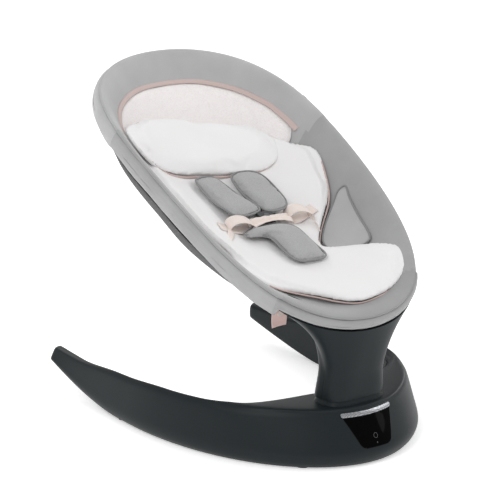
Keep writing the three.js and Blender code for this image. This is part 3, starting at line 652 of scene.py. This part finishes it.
def bagPlace(u, w):
    # the outside of the bucket, a little fuller than the inside
    turn = u * 2 * math.pi
    share = w * bagStyle["reach"]
    x, v = slingSpot(turn, share)
    full = bagStyle["bulge"] * bump(share, 0.86, 0.16) * (0.3 + 0.7 * abs(math.sin(turn)))
    sag = 0.0025 * noise.noise(Vector((x * 11, v * 9, 4.0)))
    return offSheet(x, v, -bagStyle["below"] - full - sag)


seatBag = gridPiece("seatBag", bagStyle["around"], bagStyle["rings"], bagPlace)
thicken(seatBag, slingStyle["wall"], 0)
finish(seatBag, finishes["bag"], "seat", "grey_fabric")
print("rim sleeve and sling made")


# soft pieces on the sling, in millimetres across and up the seat

def mirrored(half):
    return half + [(-x, v) for x, v in reversed(half[1:-1])]


def onSide(points, side):
    return [(x * side, v) for x, v in points]


def between(a, b, c, d, t):
    # the smooth curve from b to c, with a before it and d after it
    bend = (2 * a - 5 * b + 4 * c - d) * t * t + (3 * b - a - 3 * c + d) * t ** 3
    return 0.5 * ((2 * b) + (c - a) * t + bend)


def curvePoint(points, share):
    # a closed smooth curve through the points
    count = len(points)
    place = share * count
    index = int(math.floor(place)) % count
    ends = [Vector(points[(index + step) % count]) for step in (-1, 0, 1, 2)]
    return between(*ends, place - math.floor(place))


def alongLine(points, share):
    # a smooth open line through the points
    last = len(points) - 1
    place = min(max(share, 0.0), 1.0) * last
    index = min(int(place), last - 1)
    ends = [Vector(points[min(max(index + step, 0), last)]) for step in (-1, 0, 1, 2)]
    return between(*ends, place - index)


def padShape(name, points, style, raised=offSheet):
    # a closed pad: its upper face from the middle to the edge, then its lower face back
    centre = Vector(style["middle"])

    def place(u, w):
        rim = centre + (curvePoint(points, u) - centre) * style["grow"]  # the filling draws the edge in
        out = 1 - abs(2 * w - 1)
        spot = centre.lerp(rim, math.sin(out * math.pi / 2)) / 1000
        crown = lerp(style["edge"], 1.0, (1 - math.sin(out * math.pi / 2) ** 3) ** 0.6)
        height = style["lift"] + (style["thick"] * crown if w < 0.5 else 0.0)
        return raised(spot.x, spot.y, height)

    return gridPiece(name, style["around"], style["rings"] * 2, place)


cloth = {"frames": 20, "stiffness": 15, "quality": 4}


def puff(piece, style):
    # swells a pad as a sewn cover over its filling
    pick(piece)
    remesh = piece.modifiers.new("even", "REMESH")
    remesh.mode = "VOXEL"
    remesh.voxel_size = style["voxel"]
    remesh.use_smooth_shade = True
    applyModifiers(piece)
    before = [vertex.co.copy() for vertex in piece.data.vertices]
    swelling = piece.modifiers.new("cloth", "CLOTH")
    swelling.settings.use_pressure = True
    swelling.settings.uniform_pressure_force = style["pressure"]
    swelling.settings.effector_weights.gravity = 0
    swelling.settings.tension_stiffness = cloth["stiffness"]
    swelling.settings.quality = cloth["quality"]
    for step in range(1, cloth["frames"] + 1):
        bpy.context.scene.frame_set(step)
    applyModifiers(piece)
    bpy.context.scene.frame_set(1)
    for vertex, start in zip(piece.data.vertices, before):
        move = vertex.co - start
        if move.length > style["cap"]:
            vertex.co = start + move.normalized() * style["cap"]
    bpy.ops.object.shade_smooth()
    return piece


def press(piece, depthAt):
    # moves each upper point off the seat by depthAt(x, v), for seams and folds
    for vertex in piece.data.vertices:
        x, v, n = seatCoords(vertex.co)
        vertex.co += offSeat * depthAt(x, v, n)
    return piece


def pipingAlong(name, points, heightAt, radius, count=120, grow=1.0, middle=(0, 0), raised=offSheet):
    centre = Vector(middle)

    def spot(share):
        flat = curvePoint(points, share % 1.0)
        flat = centre + (flat - centre) * grow
        return flat.x / 1000, flat.y / 1000

    def place(u, w):
        x, v = spot(u)
        aheadX, aheadV = spot(u + 0.004)
        side = Vector((aheadV - v, x - aheadX)).normalized()
        turn = w * 2 * math.pi
        out = radius * math.cos(turn)
        return raised(x + side.x * out, v + side.y * out, heightAt(x, v) + radius * math.sin(turn))

    return gridPiece(name, count, 8, place)


padOutline = [
    (0, 590), (60, 588), (110, 568), (144, 526), (168, 486), (184, 455), (187, 425), (170, 365), (150, 327),
    (106, 280), (76, 240), (78, 214), (109, 202), (140, 180), (166, 147), (162, 110), (130, 75), (88, 52),
    (40, 42), (3, 42), (-30, 58), (-58, 78), (-92, 96), (-126, 112), (-152, 134), (-163, 170), (-159, 215),
    (-158, 262), (-167, 320), (-180, 380), (-186, 440), (-174, 500), (-140, 545), (-90, 580),
]
padStyle = {
    "middle": (0, 232), "lift": 0.008, "thick": 0.013, "around": 200, "rings": 22, "edge": 0.5, "grow": 1.012,
    "pressure": 4.0, "voxel": 0.0042, "cap": 0.005,
    "folds": 0.0022, "foldPitch": 95, "lobe": 0.004, "waves": 0.0035,
}


def padFolds(x, v, n):
    if n < sheetHeight(x, v) + 0.012:
        return 0.0
    ripple = math.sin(x * padStyle["foldPitch"] + 2.5 * math.sin(v * 14))
    middle = padStyle["folds"] * ripple * bump(x, 0, 0.085) * smooth(0.20, 0.27, v)
    lobe = padStyle["lobe"] * bump(math.hypot(x * 0.9, v - 0.135), 0.0, 0.05)
    waves = padStyle["waves"] * noise.noise(Vector((x * 18, v * 14, 5.0)))
    return middle - lobe + waves


seatPad = padShape("seatPad", padOutline, padStyle)
puff(seatPad, padStyle)
press(seatPad, padFolds)
finish(seatPad, finishes["white"], "seat", "white_fabric", "seat_pad")
padPiping = pipingAlong("padPiping", padOutline, lambda x, v: padStyle["lift"] - 0.0002, 0.0016, count=300,
                        grow=0.984, middle=padStyle["middle"])
finish(padPiping, finishes["pink"], "seat", "pink_trim")
print("seat pad made")

meshHalf = [(0, 711), (72, 699), (132, 657), (168, 600), (180, 548), (176, 512), (140, 488), (0, 470)]


def flatPatch(name, points, middle, lift, wall, around=96, rings=16):
    centre = Vector(middle)

    def place(u, w):
        spot = centre.lerp(curvePoint(points, u), w) / 1000
        return offSheet(spot.x, spot.y, lift)

    return thicken(gridPiece(name, around, rings, place), wall, 0)


meshPanel = flatPatch("meshPanel", mirrored(meshHalf), (0, 590), 0.004, 0.0012)
finish(meshPanel, finishes["mesh"], "seat", "mesh", "mesh_panel")

trimHalf = [(0, 712), (72, 700), (132, 658), (168, 600), (181, 548), (185, 508)]


def openTube(name, spots, lift, radius, count=90, sides=8):
    # a round edging along a line of the sheet, closed at both ends
    def spot(share):
        return alongLine(spots, share) / 1000

    def place(u, w):
        here, ahead = spot(u), spot(u + 0.004)
        if u > 0.99:
            here, ahead = spot(u), 2 * spot(u) - spot(u - 0.004)
        side = Vector((ahead.y - here.y, here.x - ahead.x)).normalized()
        turn = w * 2 * math.pi
        size = 1.0 if 0.004 < u < 0.996 else 0.02
        out = radius[0] * size * math.cos(turn)
        return offSheet(here.x + side.x * out, here.y + side.y * out, lift + radius[1] * size * math.sin(turn))

    return gridPiece(name, count, sides, place)


trimLine = onSide(trimHalf[1:], -1)[::-1] + trimHalf
meshTrim = openTube("meshTrim", trimLine, 0.0064, (0.0046, 0.0012), count=160)
finish(meshTrim, finishes["tape"], "seat", "pink_trim", "mesh_trim")

gussetSide = [
    (184, 336), (178, 312), (168, 268), (154, 210), (138, 194), (102, 204), (84, 226), (90, 254), (116, 286),
    (152, 320), (172, 338),
]
gussetStyle = {"middle": (142, 268), "lift": 0.0045, "wall": 0.0025, "piping": 0.0016, "pipingLift": 0.006}
for side, word in ((-1, "Left"), (1, "Right")):
    outline = onSide(gussetSide, side)
    middle = (side * gussetStyle["middle"][0], gussetStyle["middle"][1])
    gusset = flatPatch("sideGusset" + word, outline, middle, gussetStyle["lift"], gussetStyle["wall"], rings=12)
    finish(gusset, finishes["velvetLight"], "seat", "grey_fabric", "side_gusset_" + word.lower())
    gussetEdge = pipingAlong("gussetEdge" + word, outline, lambda x, v: gussetStyle["pipingLift"],
                             gussetStyle["piping"])
    finish(gussetEdge, finishes["piping"], "seat", "pad_grey")
print("mesh panel, trim and gussets made")

pillowOutline = [
    (0, 604), (58, 588), (103, 562), (127, 523), (126, 488), (111, 463), (87, 453), (44, 451), (0, 457),
    (-61, 466), (-106, 466), (-142, 470), (-170, 490), (-184, 522), (-179, 558), (-157, 584), (-120, 606),
    (-84, 613), (-46, 614),
]
pillowStyle = {
    "middle": (-26, 534), "lift": 0.026, "thick": 0.022, "around": 140, "rings": 16, "edge": 0.3, "grow": 1.025,
    "pressure": 5.0, "voxel": 0.0045, "cap": 0.007, "dimple": 0.006, "waves": 0.0016,
}


def pillowDimple(x, v, n):
    if n < sheetHeight(x, v) + 0.036:
        return 0.0
    dimple = pillowStyle["dimple"] * bump(math.hypot(x, v - 0.54), 0.0, 0.040)
    waves = pillowStyle["waves"] * noise.noise(Vector((x * 16, v * 20, 2.0)))
    return waves - dimple


headPillow = padShape("headPillow", pillowOutline, pillowStyle, raised=onSheet)
puff(headPillow, pillowStyle)
press(headPillow, pillowDimple)
finish(headPillow, finishes["white"], "seat", "white_fabric", "head_pillow")
pillowPiping = pipingAlong("pillowPiping", pillowOutline, lambda x, v: pillowStyle["lift"] + 0.0008, 0.0018,
                           count=240, grow=0.975, middle=pillowStyle["middle"], raised=onSheet)
finish(pillowPiping, finishes["pink"], "seat", "pink_trim")

shoulderLeft = [
    (-92, 440), (-80, 456), (-50, 460), (-32, 448), (-16, 402), (-2, 352), (-18, 338), (-52, 334), (-76, 340),
    (-88, 384),
]
shoulderRight = [
    (0, 446), (22, 458), (54, 452), (70, 430), (74, 388), (66, 350), (48, 334), (12, 336), (3, 352), (-4, 400),
]
crotchOutline = [
    (0, 166), (26, 166), (38, 184), (38, 236), (34, 276), (18, 298), (-14, 306), (-52, 304), (-76, 292),
    (-66, 276), (-44, 262), (-38, 236), (-36, 184), (-24, 168),
]
harnessStyle = {
    "around": 72, "rings": 9, "edge": 0.3, "grow": 1.0, "pressure": 5.0, "voxel": 0.0034, "cap": 0.004,
    "piping": 0.0021, "pipingShare": 0.35,
}
shoulderStyle = {"lift": 0.030, "thick": 0.011, "rise": 0.010}
crotchStyle = {"lift": 0.028, "thick": 0.012, "rise": 0.012, "droop": 0.008}


def harnessPad(name, points, middle, sizes, riseAt, cadNode):
    style = {**harnessStyle, **sizes, "middle": middle}
    pad = padShape(name, points, style)
    puff(pad, style)
    press(pad, riseAt)
    finish(pad, finishes["heather"], "seat", "pad_grey", cadNode)

    def edgeHeight(x, v):
        return style["lift"] + style["thick"] * style["pipingShare"] + riseAt(x, v, 0)

    edge = pipingAlong(name + "Edge", points, edgeHeight, style["piping"], count=150)
    finish(edge, finishes["piping"], "seat", "pad_grey")


def shoulderRise(x, v, n):
    return shoulderStyle["rise"] * (1 - smooth(0.335, 0.400, v))


def crotchRise(x, v, n):
    arch = crotchStyle["rise"] * bump(v, 0.262, 0.050)
    return arch - crotchStyle["droop"] * smooth(0.040, 0.080, -x)


harnessPad("shoulderPadLeft", shoulderLeft, (-50, 398), shoulderStyle, shoulderRise, "shoulder_pad_left")
harnessPad("shoulderPadRight", shoulderRight, (36, 398), shoulderStyle, shoulderRise, "shoulder_pad_right")
harnessPad("crotchPad", crotchOutline, (0, 240), crotchStyle, crotchRise, "crotch_pad")
print("pillow and harness pads made")

# webbing and ribbons

webbing = {"width": 0.024, "thick": 0.0014, "lift": 0.027}


def webStrap(name, spots, lift, cadNode):
    lengths = [0.0]
    for a, b in zip(spots, spots[1:]):
        lengths.append(lengths[-1] + math.dist(a, b))

    def spot(share):
        target = min(max(share, 0.0), 1.0) * lengths[-1]
        index = max(i for i in range(len(lengths) - 1) if lengths[i] <= target + 1e-9)
        t = (target - lengths[index]) / (lengths[index + 1] - lengths[index])
        return Vector(spots[index]).lerp(Vector(spots[index + 1]), t) / 1000

    def place(u, w):
        here = spot(u)
        ahead, behind = spot(u + 0.05), spot(u - 0.05)
        run = (ahead - behind).normalized()
        out = (w - 0.5) * webbing["width"]
        return offSheet(here.x - run.y * out, here.y + run.x * out, lift)

    strap = thicken(gridPiece(name, 40, 6, place), webbing["thick"], 0)
    finish(strap, finishes["webbing"], "seat", "webbing", cadNode)


buckleV = 326
for side, word in ((-1, "Left"), (1, "Right")):
    lower = word.lower()
    shoulder = onSide([(60, 452), (56, 420), (44, 380), (24, buckleV + 22)], side)
    webStrap("shoulderStrap" + word, shoulder, webbing["lift"], "shoulder_strap_" + lower)
    waist = onSide([(32, buckleV - 4), (68, 312), (118, 322)], side)
    webStrap("waistStrap" + word, waist, webbing["lift"], "waist_strap_" + lower)
webStrap("crotchStrap", [(0, buckleV - 16), (0, 260), (0, 175)], webbing["lift"] - 0.001, "crotch_strap")

ribbonStyle = {"rise": 0.019, "width": 0.023, "wall": 0.0009, "lift": 0.030, "loopShare": 0.72}
ribbonEnds = {
    "Left": {"x": -0.062, "v": 0.316, "span": 0.052, "slope": 0.25, "tail": (-0.118, 0.276), "cut": 0.105},
    "Right": {"x": 0.068, "v": 0.316, "span": 0.040, "slope": 0.5, "tail": (0.090, 0.276), "cut": 0.080},
}


def ribbonLoop(word):
    # a bow of satin with a loose tail on its outer side
    ends = ribbonEnds[word]
    side = -1 if word == "Left" else 1

    half, share = 0.5 * ends["span"], ribbonStyle["loopShare"]

    def place(u, w):
        across = (w - 0.5) * ribbonStyle["width"]
        if u <= share:
            turn = u / share * math.pi
            bow = -half * math.cos(turn)
            lift = ribbonStyle["lift"] + ribbonStyle["rise"] * math.sin(turn) ** 0.7
            twist = 0.005 * math.sin(turn) * math.sin(5 * u)
            v = ends["v"] + across - side * bow * ends["slope"] + twist
            return onSheet(ends["x"] + side * bow, v, lift)
        t = (u - share) / (1 - share)
        x = lerp(ends["x"] + side * half, ends["tail"][0], t)
        v = lerp(ends["v"] - half * ends["slope"], ends["tail"][1], t)
        sway = 0.004 * math.sin(t * 5) * t
        lift = ribbonStyle["lift"] - 0.004 * t + sway
        return onSheet(x + across * 0.3 * t, v + across * (1 - 0.1 * t), lift)

    loop = thicken(gridPiece("ribbonLoop" + word, 70, 8, place), ribbonStyle["wall"], 0)
    finish(loop, finishes["webbing"], "seat", "webbing", "ribbon_loop_" + word.lower())
    return loop


for word in ("Left", "Right"):
    ribbonLoop(word)

knot = {"from": (-0.042, 0.316), "to": (0.050, 0.313), "width": 0.025, "lift": 0.034, "rise": 0.013}


def knotPlace(u, w):
    # the ribbon between the bows, over the buckle
    x = lerp(knot["from"][0], knot["to"][0], u)
    gathered = 1 - 0.25 * math.sin(u * math.pi)
    v = lerp(knot["from"][1], knot["to"][1], u) + (w - 0.5) * knot["width"] * gathered
    fold = 0.0018 * math.sin(w * 9 + u * 4) + 0.0012 * noise.noise(Vector((u * 9, w * 4, 7.0)))
    return onSheet(x, v, knot["lift"] + knot["rise"] * math.sin(u * math.pi) ** 0.5 + fold)


ribbonKnot = thicken(gridPiece("ribbonKnot", 60, 14, knotPlace), ribbonStyle["wall"], 0)
finish(ribbonKnot, finishes["webbing"], "seat", "webbing")
print("straps made")

# the buckle: a moulded body with a bevelled button and two tongues

buckleShrink = 0.8


def smoothed(cadName, name, material, body, slotName, width=0.0012, shrink=1):
    # a moulded copy of a CAD piece with rounded edges
    piece = nodes[cadName].copy()
    piece.data = nodes[cadName].data.copy()
    piece.parent = None
    for key in list(piece.keys()):
        del piece[key]
    piece.name = name
    bpy.context.scene.collection.objects.link(piece)
    piece.hide_render = False
    piece.hide_viewport = False
    pick(piece)
    bpy.ops.object.mode_set(mode="EDIT")
    bpy.ops.mesh.select_all(action="SELECT")
    bpy.ops.mesh.remove_doubles(threshold=0.00001)
    bpy.ops.mesh.dissolve_limited(angle_limit=math.radians(3))
    bpy.ops.object.mode_set(mode="OBJECT")
    if shrink != 1:
        centre = sum((Vector(corner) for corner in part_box("harness_buckle")), Vector()) / 2
        for vertex in piece.data.vertices:
            vertex.co = centre + (vertex.co - centre) * shrink
    roundEdges(piece, width, 3, 50)
    softShade(piece, 40)
    return finish(piece, material, body, slotName, cadName)


smoothed("harness_buckle", "harnessBuckle", finishes["inner"], "seat", "plastic", 0.0015, buckleShrink)
smoothed("buckle_button", "buckleButton", finishes["button"], "button", "inner_plastic", 0.0008, buckleShrink)
for word in ("left", "right"):
    name = "buckleTongue" + word.title()
    smoothed("buckle_tongue_" + word, name, finishes["inner"], "seat", "plastic", 0.0008, buckleShrink)
for number in ("1", "2"):
    smoothed("rim_clip_" + number, "rimClip" + number, finishes["inner"], "seat", "inner_plastic", 0.0012)
print("buckle made")

# the crescent base

crescent = {
    "halfWidth": 0.264, "frontY": -0.084, "sideY": 0.330, "tipY": 0.610, "tipHalfWidth": 0.252,
    "frontShare": 0.62,
}
arm = {
    "width": 0.031, "housingDepth": 0.147, "tipLift": 0.042, "liftStart": 0.390, "floor": 0.0025, "wall": 0.0026,
}
ridge = {"front": 0.095, "side": 0.092, "middle": 0.083, "tip": 0.075}
crest = {"rise": 0.007, "fadeFrom": 0.340, "fadeTo": 0.560}  # the rounded crest stands above the deck
lean = {"front": 0.029, "arm": 0.010}


def crescentAt(station):
    # the outer line of the base: its place, and the way in from it
    side = 1 if station >= 0 else -1
    t = abs(station)
    front = crescent["frontShare"]
    wide, deep = crescent["halfWidth"], crescent["sideY"] - crescent["frontY"]
    if t <= front:
        a = t / front * math.pi / 2
        x, y = wide * math.sin(a), crescent["sideY"] - deep * math.cos(a)
        inward = Vector((-x / wide ** 2, (crescent["sideY"] - y) / deep ** 2)).normalized()
        return side * x, y, side * inward.x, inward.y
    along = (t - front) / (1 - front)
    x = wide * math.cos(math.acos(crescent["tipHalfWidth"] / wide) * along)
    return side * x, lerp(crescent["sideY"], crescent["tipY"], along), -side, 0.0


def ridgeHeight(y):
    down = lerp(ridge["front"], ridge["side"], smooth(0.100, 0.250, y))
    middle = lerp(down, ridge["middle"], smooth(0.230, 0.380, y))
    return lerp(middle, ridge["tip"], smooth(0.360, 0.520, y))


def baseSection(y):
    share = max(0.0, (y - arm["liftStart"]) / (crescent["tipY"] - arm["liftStart"]))
    lift = arm["floor"] + arm["tipLift"] * share ** 1.5
    top = ridgeHeight(y)
    tall = top - lift
    crown = crest["rise"] * (1 - smooth(crest["fadeFrom"], crest["fadeTo"], y))
    over = lerp(lean["front"], lean["arm"], smooth(crescent["frontY"], 0.120, y))
    deep = lerp(arm["housingDepth"], arm["width"], smooth(crescent["frontY"] + 0.020, 0.150, y))
    roof = min(0.018, (deep - over) * 0.45)
    return [
        (0.012, lift), (0.004, lift + 0.10 * tall), (0, lift + 0.26 * tall), (over * 0.3, lift + 0.5 * tall),
        (over * 0.92, lift + 0.86 * tall), (over + roof * 0.3, lift + 0.965 * tall + crown * 0.5),
        (over + roof, top + crown), (deep - 0.007, top - 0.001), (deep - 0.0015, top - 0.006),
        (deep, top - 0.014), (deep, lift + 0.006), (deep - 0.002, lift),
    ]


def basePlace(u, w):
    station = (u - 0.5) * 2.04
    beyond = max(0.0, abs(station) - 1)  # the rounded tip
    x, y, inX, inY = crescentAt(max(-1, min(1, station)))
    section = baseSection(y)
    spot = alongLine(section, w)
    if beyond:
        middle = Vector((arm["width"] / 2, sum(point[1] for point in section) / len(section)))
        turn = beyond / 0.02 * math.pi / 2
        spot = middle + (spot - middle) * math.cos(turn)
        y += 0.009 * math.sin(turn)
    return Vector((x + inX * spot.x, y + inY * spot.x + depthShift, spot.y))


baseShell = gridPiece("baseShell", 220, 66, basePlace)
thicken(baseShell, arm["wall"])
softShade(baseShell, 50)
finish(baseShell, finishes["plastic"], "base", "plastic", "base_shell")

axisTilt = math.radians(4)
axisPoint = Vector((0, 0.004 + depthShift, 0.108))
column = {
    "halfWidth": 0.058, "halfDepth": 0.037, "neck": 0.1, "neckShare": 0.35, "wall": 0.003, "seam": 0.0012,
    "flare": 2.6, "square": 0.55,
}
yoke = {"halfSpan": 0.150, "outer": 0.0105, "inner": 0.046, "drop": 0.0085, "square": 0.22, "lean": 0.5}
collar = {"halfWidth": 0.086, "halfDepth": 0.056, "bottomZ": 0.080, "square": 0.6}


def onAxis(x, y, z):
    point = Vector((x, y, z))
    point.rotate(Euler((-axisTilt, 0, 0)))
    return point + axisPoint


def collarPlace(u, w):
    around = u * 2 * math.pi
    share = min(1.0, w / 0.9)
    inner = max(0.0, (w - 0.9) / 0.1)
    ease = share ** 0.75
    halfX = lerp(collar["halfWidth"], column["halfWidth"] + 0.001, ease) * (1 - 0.5 * inner)
    halfY = lerp(collar["halfDepth"], column["halfDepth"] + 0.001, ease) * (1 - 0.5 * inner)
    point = onAxis(halfX * signedPower(math.cos(around), collar["square"]),
                   halfY * signedPower(math.sin(around), collar["square"]), 0)
    return Vector((point.x, point.y, lerp(collar["bottomZ"], point.z, share ** 1.6)))


baseCollar = gridPiece("baseCollar", 96, 30, collarPlace)
thicken(baseCollar, 0.002)
softShade(baseCollar, 50)
finish(baseCollar, finishes["plastic"], "base", "plastic")


def angleForX(x):
    low, high = 0.0, 1.2
    while high - low > 1e-6:
        middle = (low + high) / 2
        if rimAt(middle)[0] < abs(x):
            low = middle
        else:
            high = middle
    return math.copysign(low, x)


def yokeTop(around):
    x = yoke["halfSpan"] * math.cos(around)
    blend = signedPower(math.sin(around), yoke["square"])
    out = lerp(-yoke["inner"], yoke["outer"], (1 - blend) / 2)
    return besideRim(angleForX(x), out, -yoke["drop"])


yokeMiddle = besideRim(0, (yoke["outer"] - yoke["inner"]) / 2, 0).y


def columnPlace(start):
    def place(u, w):
        around = start + lerp(2e-4, math.pi - 2e-4, u)
        narrow = 1 - column["neck"] * smooth(0, column["neckShare"], w)
        low = onAxis(column["halfWidth"] * narrow * signedPower(math.cos(around), column["square"]),
                     column["halfDepth"] * narrow * signedPower(math.sin(around), column["square"]),
                     column["seam"])
        top = yokeTop(around)
        flare = w ** column["flare"]
        lean = yoke["lean"] * (w - flare) * (yokeMiddle - axisPoint.y)
        return Vector((lerp(low.x, top.x, flare), lerp(low.y, top.y, flare) + lean, lerp(low.z, top.z, w)))
    return place


for start, name, cadNode in (
        (math.pi, "columnFrontShell", "column_front_shell"), (0.0, "columnRearShell", "column_rear_shell")):
    shell = gridPiece(name, 90, 48, columnPlace(start))
    thicken(shell, column["wall"])
    softShade(shell, 50)
    finish(shell, finishes["plastic"], "seat", "plastic", cadNode)
print("base and column made")

# the control panel and its strip

panel = {
    "topHalf": 0.052, "bottomHalf": 0.031, "topZ": 0.0855, "bottomZ": 0.034, "proud": 0.0006, "corner": 0.008,
    "cornerShare": 0.15, "wall": 0.0016,
}
strip = {"half": 0.055, "bottomZ": 0.0866, "topZ": 0.0938, "proud": 0.0012}


def frontSurface(x, z):
    # the point of the base's front wall at a place seen from the front
    low, high = -0.3, 0.3
    best = None
    for _ in range(40):
        station = (low + high) / 2
        beltX, y, inX, inY = crescentAt(station)
        section = baseSection(y)
        a, b = 0.15, 0.62
        while b - a > 1e-5:
            w = (a + b) / 2
            if alongLine(section, w).y < z:
                a = w
            else:
                b = w
        o = alongLine(section, a).x
        best = Vector((beltX + inX * o, y + inY * o + depthShift, z))
        if best.x < x:
            low = station
        else:
            high = station
    return best


def panelPlace(u, w):
    z = lerp(panel["bottomZ"], panel["topZ"], w)
    half = lerp(panel["bottomHalf"], panel["topHalf"], w)
    if w < panel["cornerShare"]:
        half -= panel["corner"] * (1 - math.sqrt(max(0.0, 1 - (1 - w / panel["cornerShare"]) ** 2)))
    point = frontSurface(lerp(-half, half, u), z)
    return point + Vector((0, -panel["proud"], 0))


def stripPlace(u, w):
    half = strip["half"] - 0.0026 * (1 - math.sqrt(max(0.0, 1 - (2 * w - 1) ** 2)))
    point = frontSurface(lerp(-half, half, u), lerp(strip["bottomZ"], strip["topZ"], w))
    bulge = 0.0008 * math.sin(w * math.pi)
    return point + Vector((0, -strip["proud"] - bulge, 0))


controlPanel = gridPiece("controlPanel", 36, 24, panelPlace)
thicken(controlPanel, panel["wall"])
softShade(controlPanel, 40)
finish(controlPanel, finishes["gloss"], "base", "gloss", "control_panel")
panelStrip = gridPiece("panelStrip", 60, 8, stripPlace)
thicken(panelStrip, panel["wall"])
softShade(panelStrip, 40)
finish(panelStrip, finishes["strip"], "base", "silver", "panel_strip")


def panelRing(name, x, z, radius, wall):
    def place(u, w):
        turn, tube = u * 2 * math.pi, w * 2 * math.pi
        r = radius + wall * math.cos(tube)
        point = frontSurface(x + r * math.cos(turn), z + r * math.sin(turn))
        return point + Vector((0, -panel["proud"] - 0.0001 + wall * 0.3 * math.sin(tube), 0))
    icon = gridPiece(name, 32, 8, place)
    finish(icon, finishes["inner"], "base", "inner_plastic")


panelRing("touchRing", 0.0, 0.0520, 0.0040, 0.0004)
panelRing("touchDot", 0.0, 0.0405, 0.0007, 0.0005)
print("panel made")

# the tag that hangs from the cover

tag = {"fold": 0.004, "wall": 0.001, "drop": 0.016}


def tagPiece():
    low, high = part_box("cover_tag")
    middleY = (low[1] + high[1]) / 2

    def place(u, w):
        sway = tag["fold"] * math.sin(w * 5 + u * 2) * (1 - w)
        x = lerp(low[0] - 0.004, high[0] + 0.004, u) + 0.3 * sway
        return Vector((x, middleY + sway, lerp(low[2] - tag["drop"], high[2], w)))

    cloth = thicken(gridPiece("coverTag", 16, 24, place), tag["wall"], 0)
    finish(cloth, finishes["tag"], "seat", "pink_trim", "cover_tag")


tagPiece()
backStrap = {"width": 0.010, "from": (-0.100, 0.112), "to": (-0.052, 0.030)}


def backStrapPiece():
    # a tie of tape under the cover, from the tag to the yoke
    def place(u, w):
        x = lerp(backStrap["from"][0], backStrap["to"][0], u) + (w - 0.5) * backStrap["width"]
        v = lerp(backStrap["from"][1], backStrap["to"][1], u)
        return offSheet(x, v, -0.020 - 0.010 * math.sin(u * math.pi))

    tie = thicken(gridPiece("coverTie", 30, 4, place), tag["wall"], 0)
    finish(tie, finishes["tag"], "seat", "pink_trim")


backStrapPiece()

# CAD pieces that are shown as they are, with their finish

carried = {
    "inner": ["base_cover", "bearing_housing", "gear_case", "pinion_gear", "sector_gear", "saddle_left",
              "saddle_right", "head_plug", "foot_plug", "speaker"],
    "steel": ["swing_shaft", "upper_bearing", "lower_bearing", "drive_motor", "column_post", "yoke_bracket",
              "ballast_plate", "frame_tube_left", "frame_tube_right"]
             + ["cover_screw_" + number for number in "1234"],
    "rubber": ["foot_pad_" + number for number in "1234"] + ["power_jack"],
    "board": ["control_board"],
    "webbing": ["tag_snap"],
}
for look, names in carried.items():
    for nodeName in names:
        nodes[nodeName].data.materials.clear()
        nodes[nodeName].data.materials.append(finishes[look])
print("carried pieces finished")
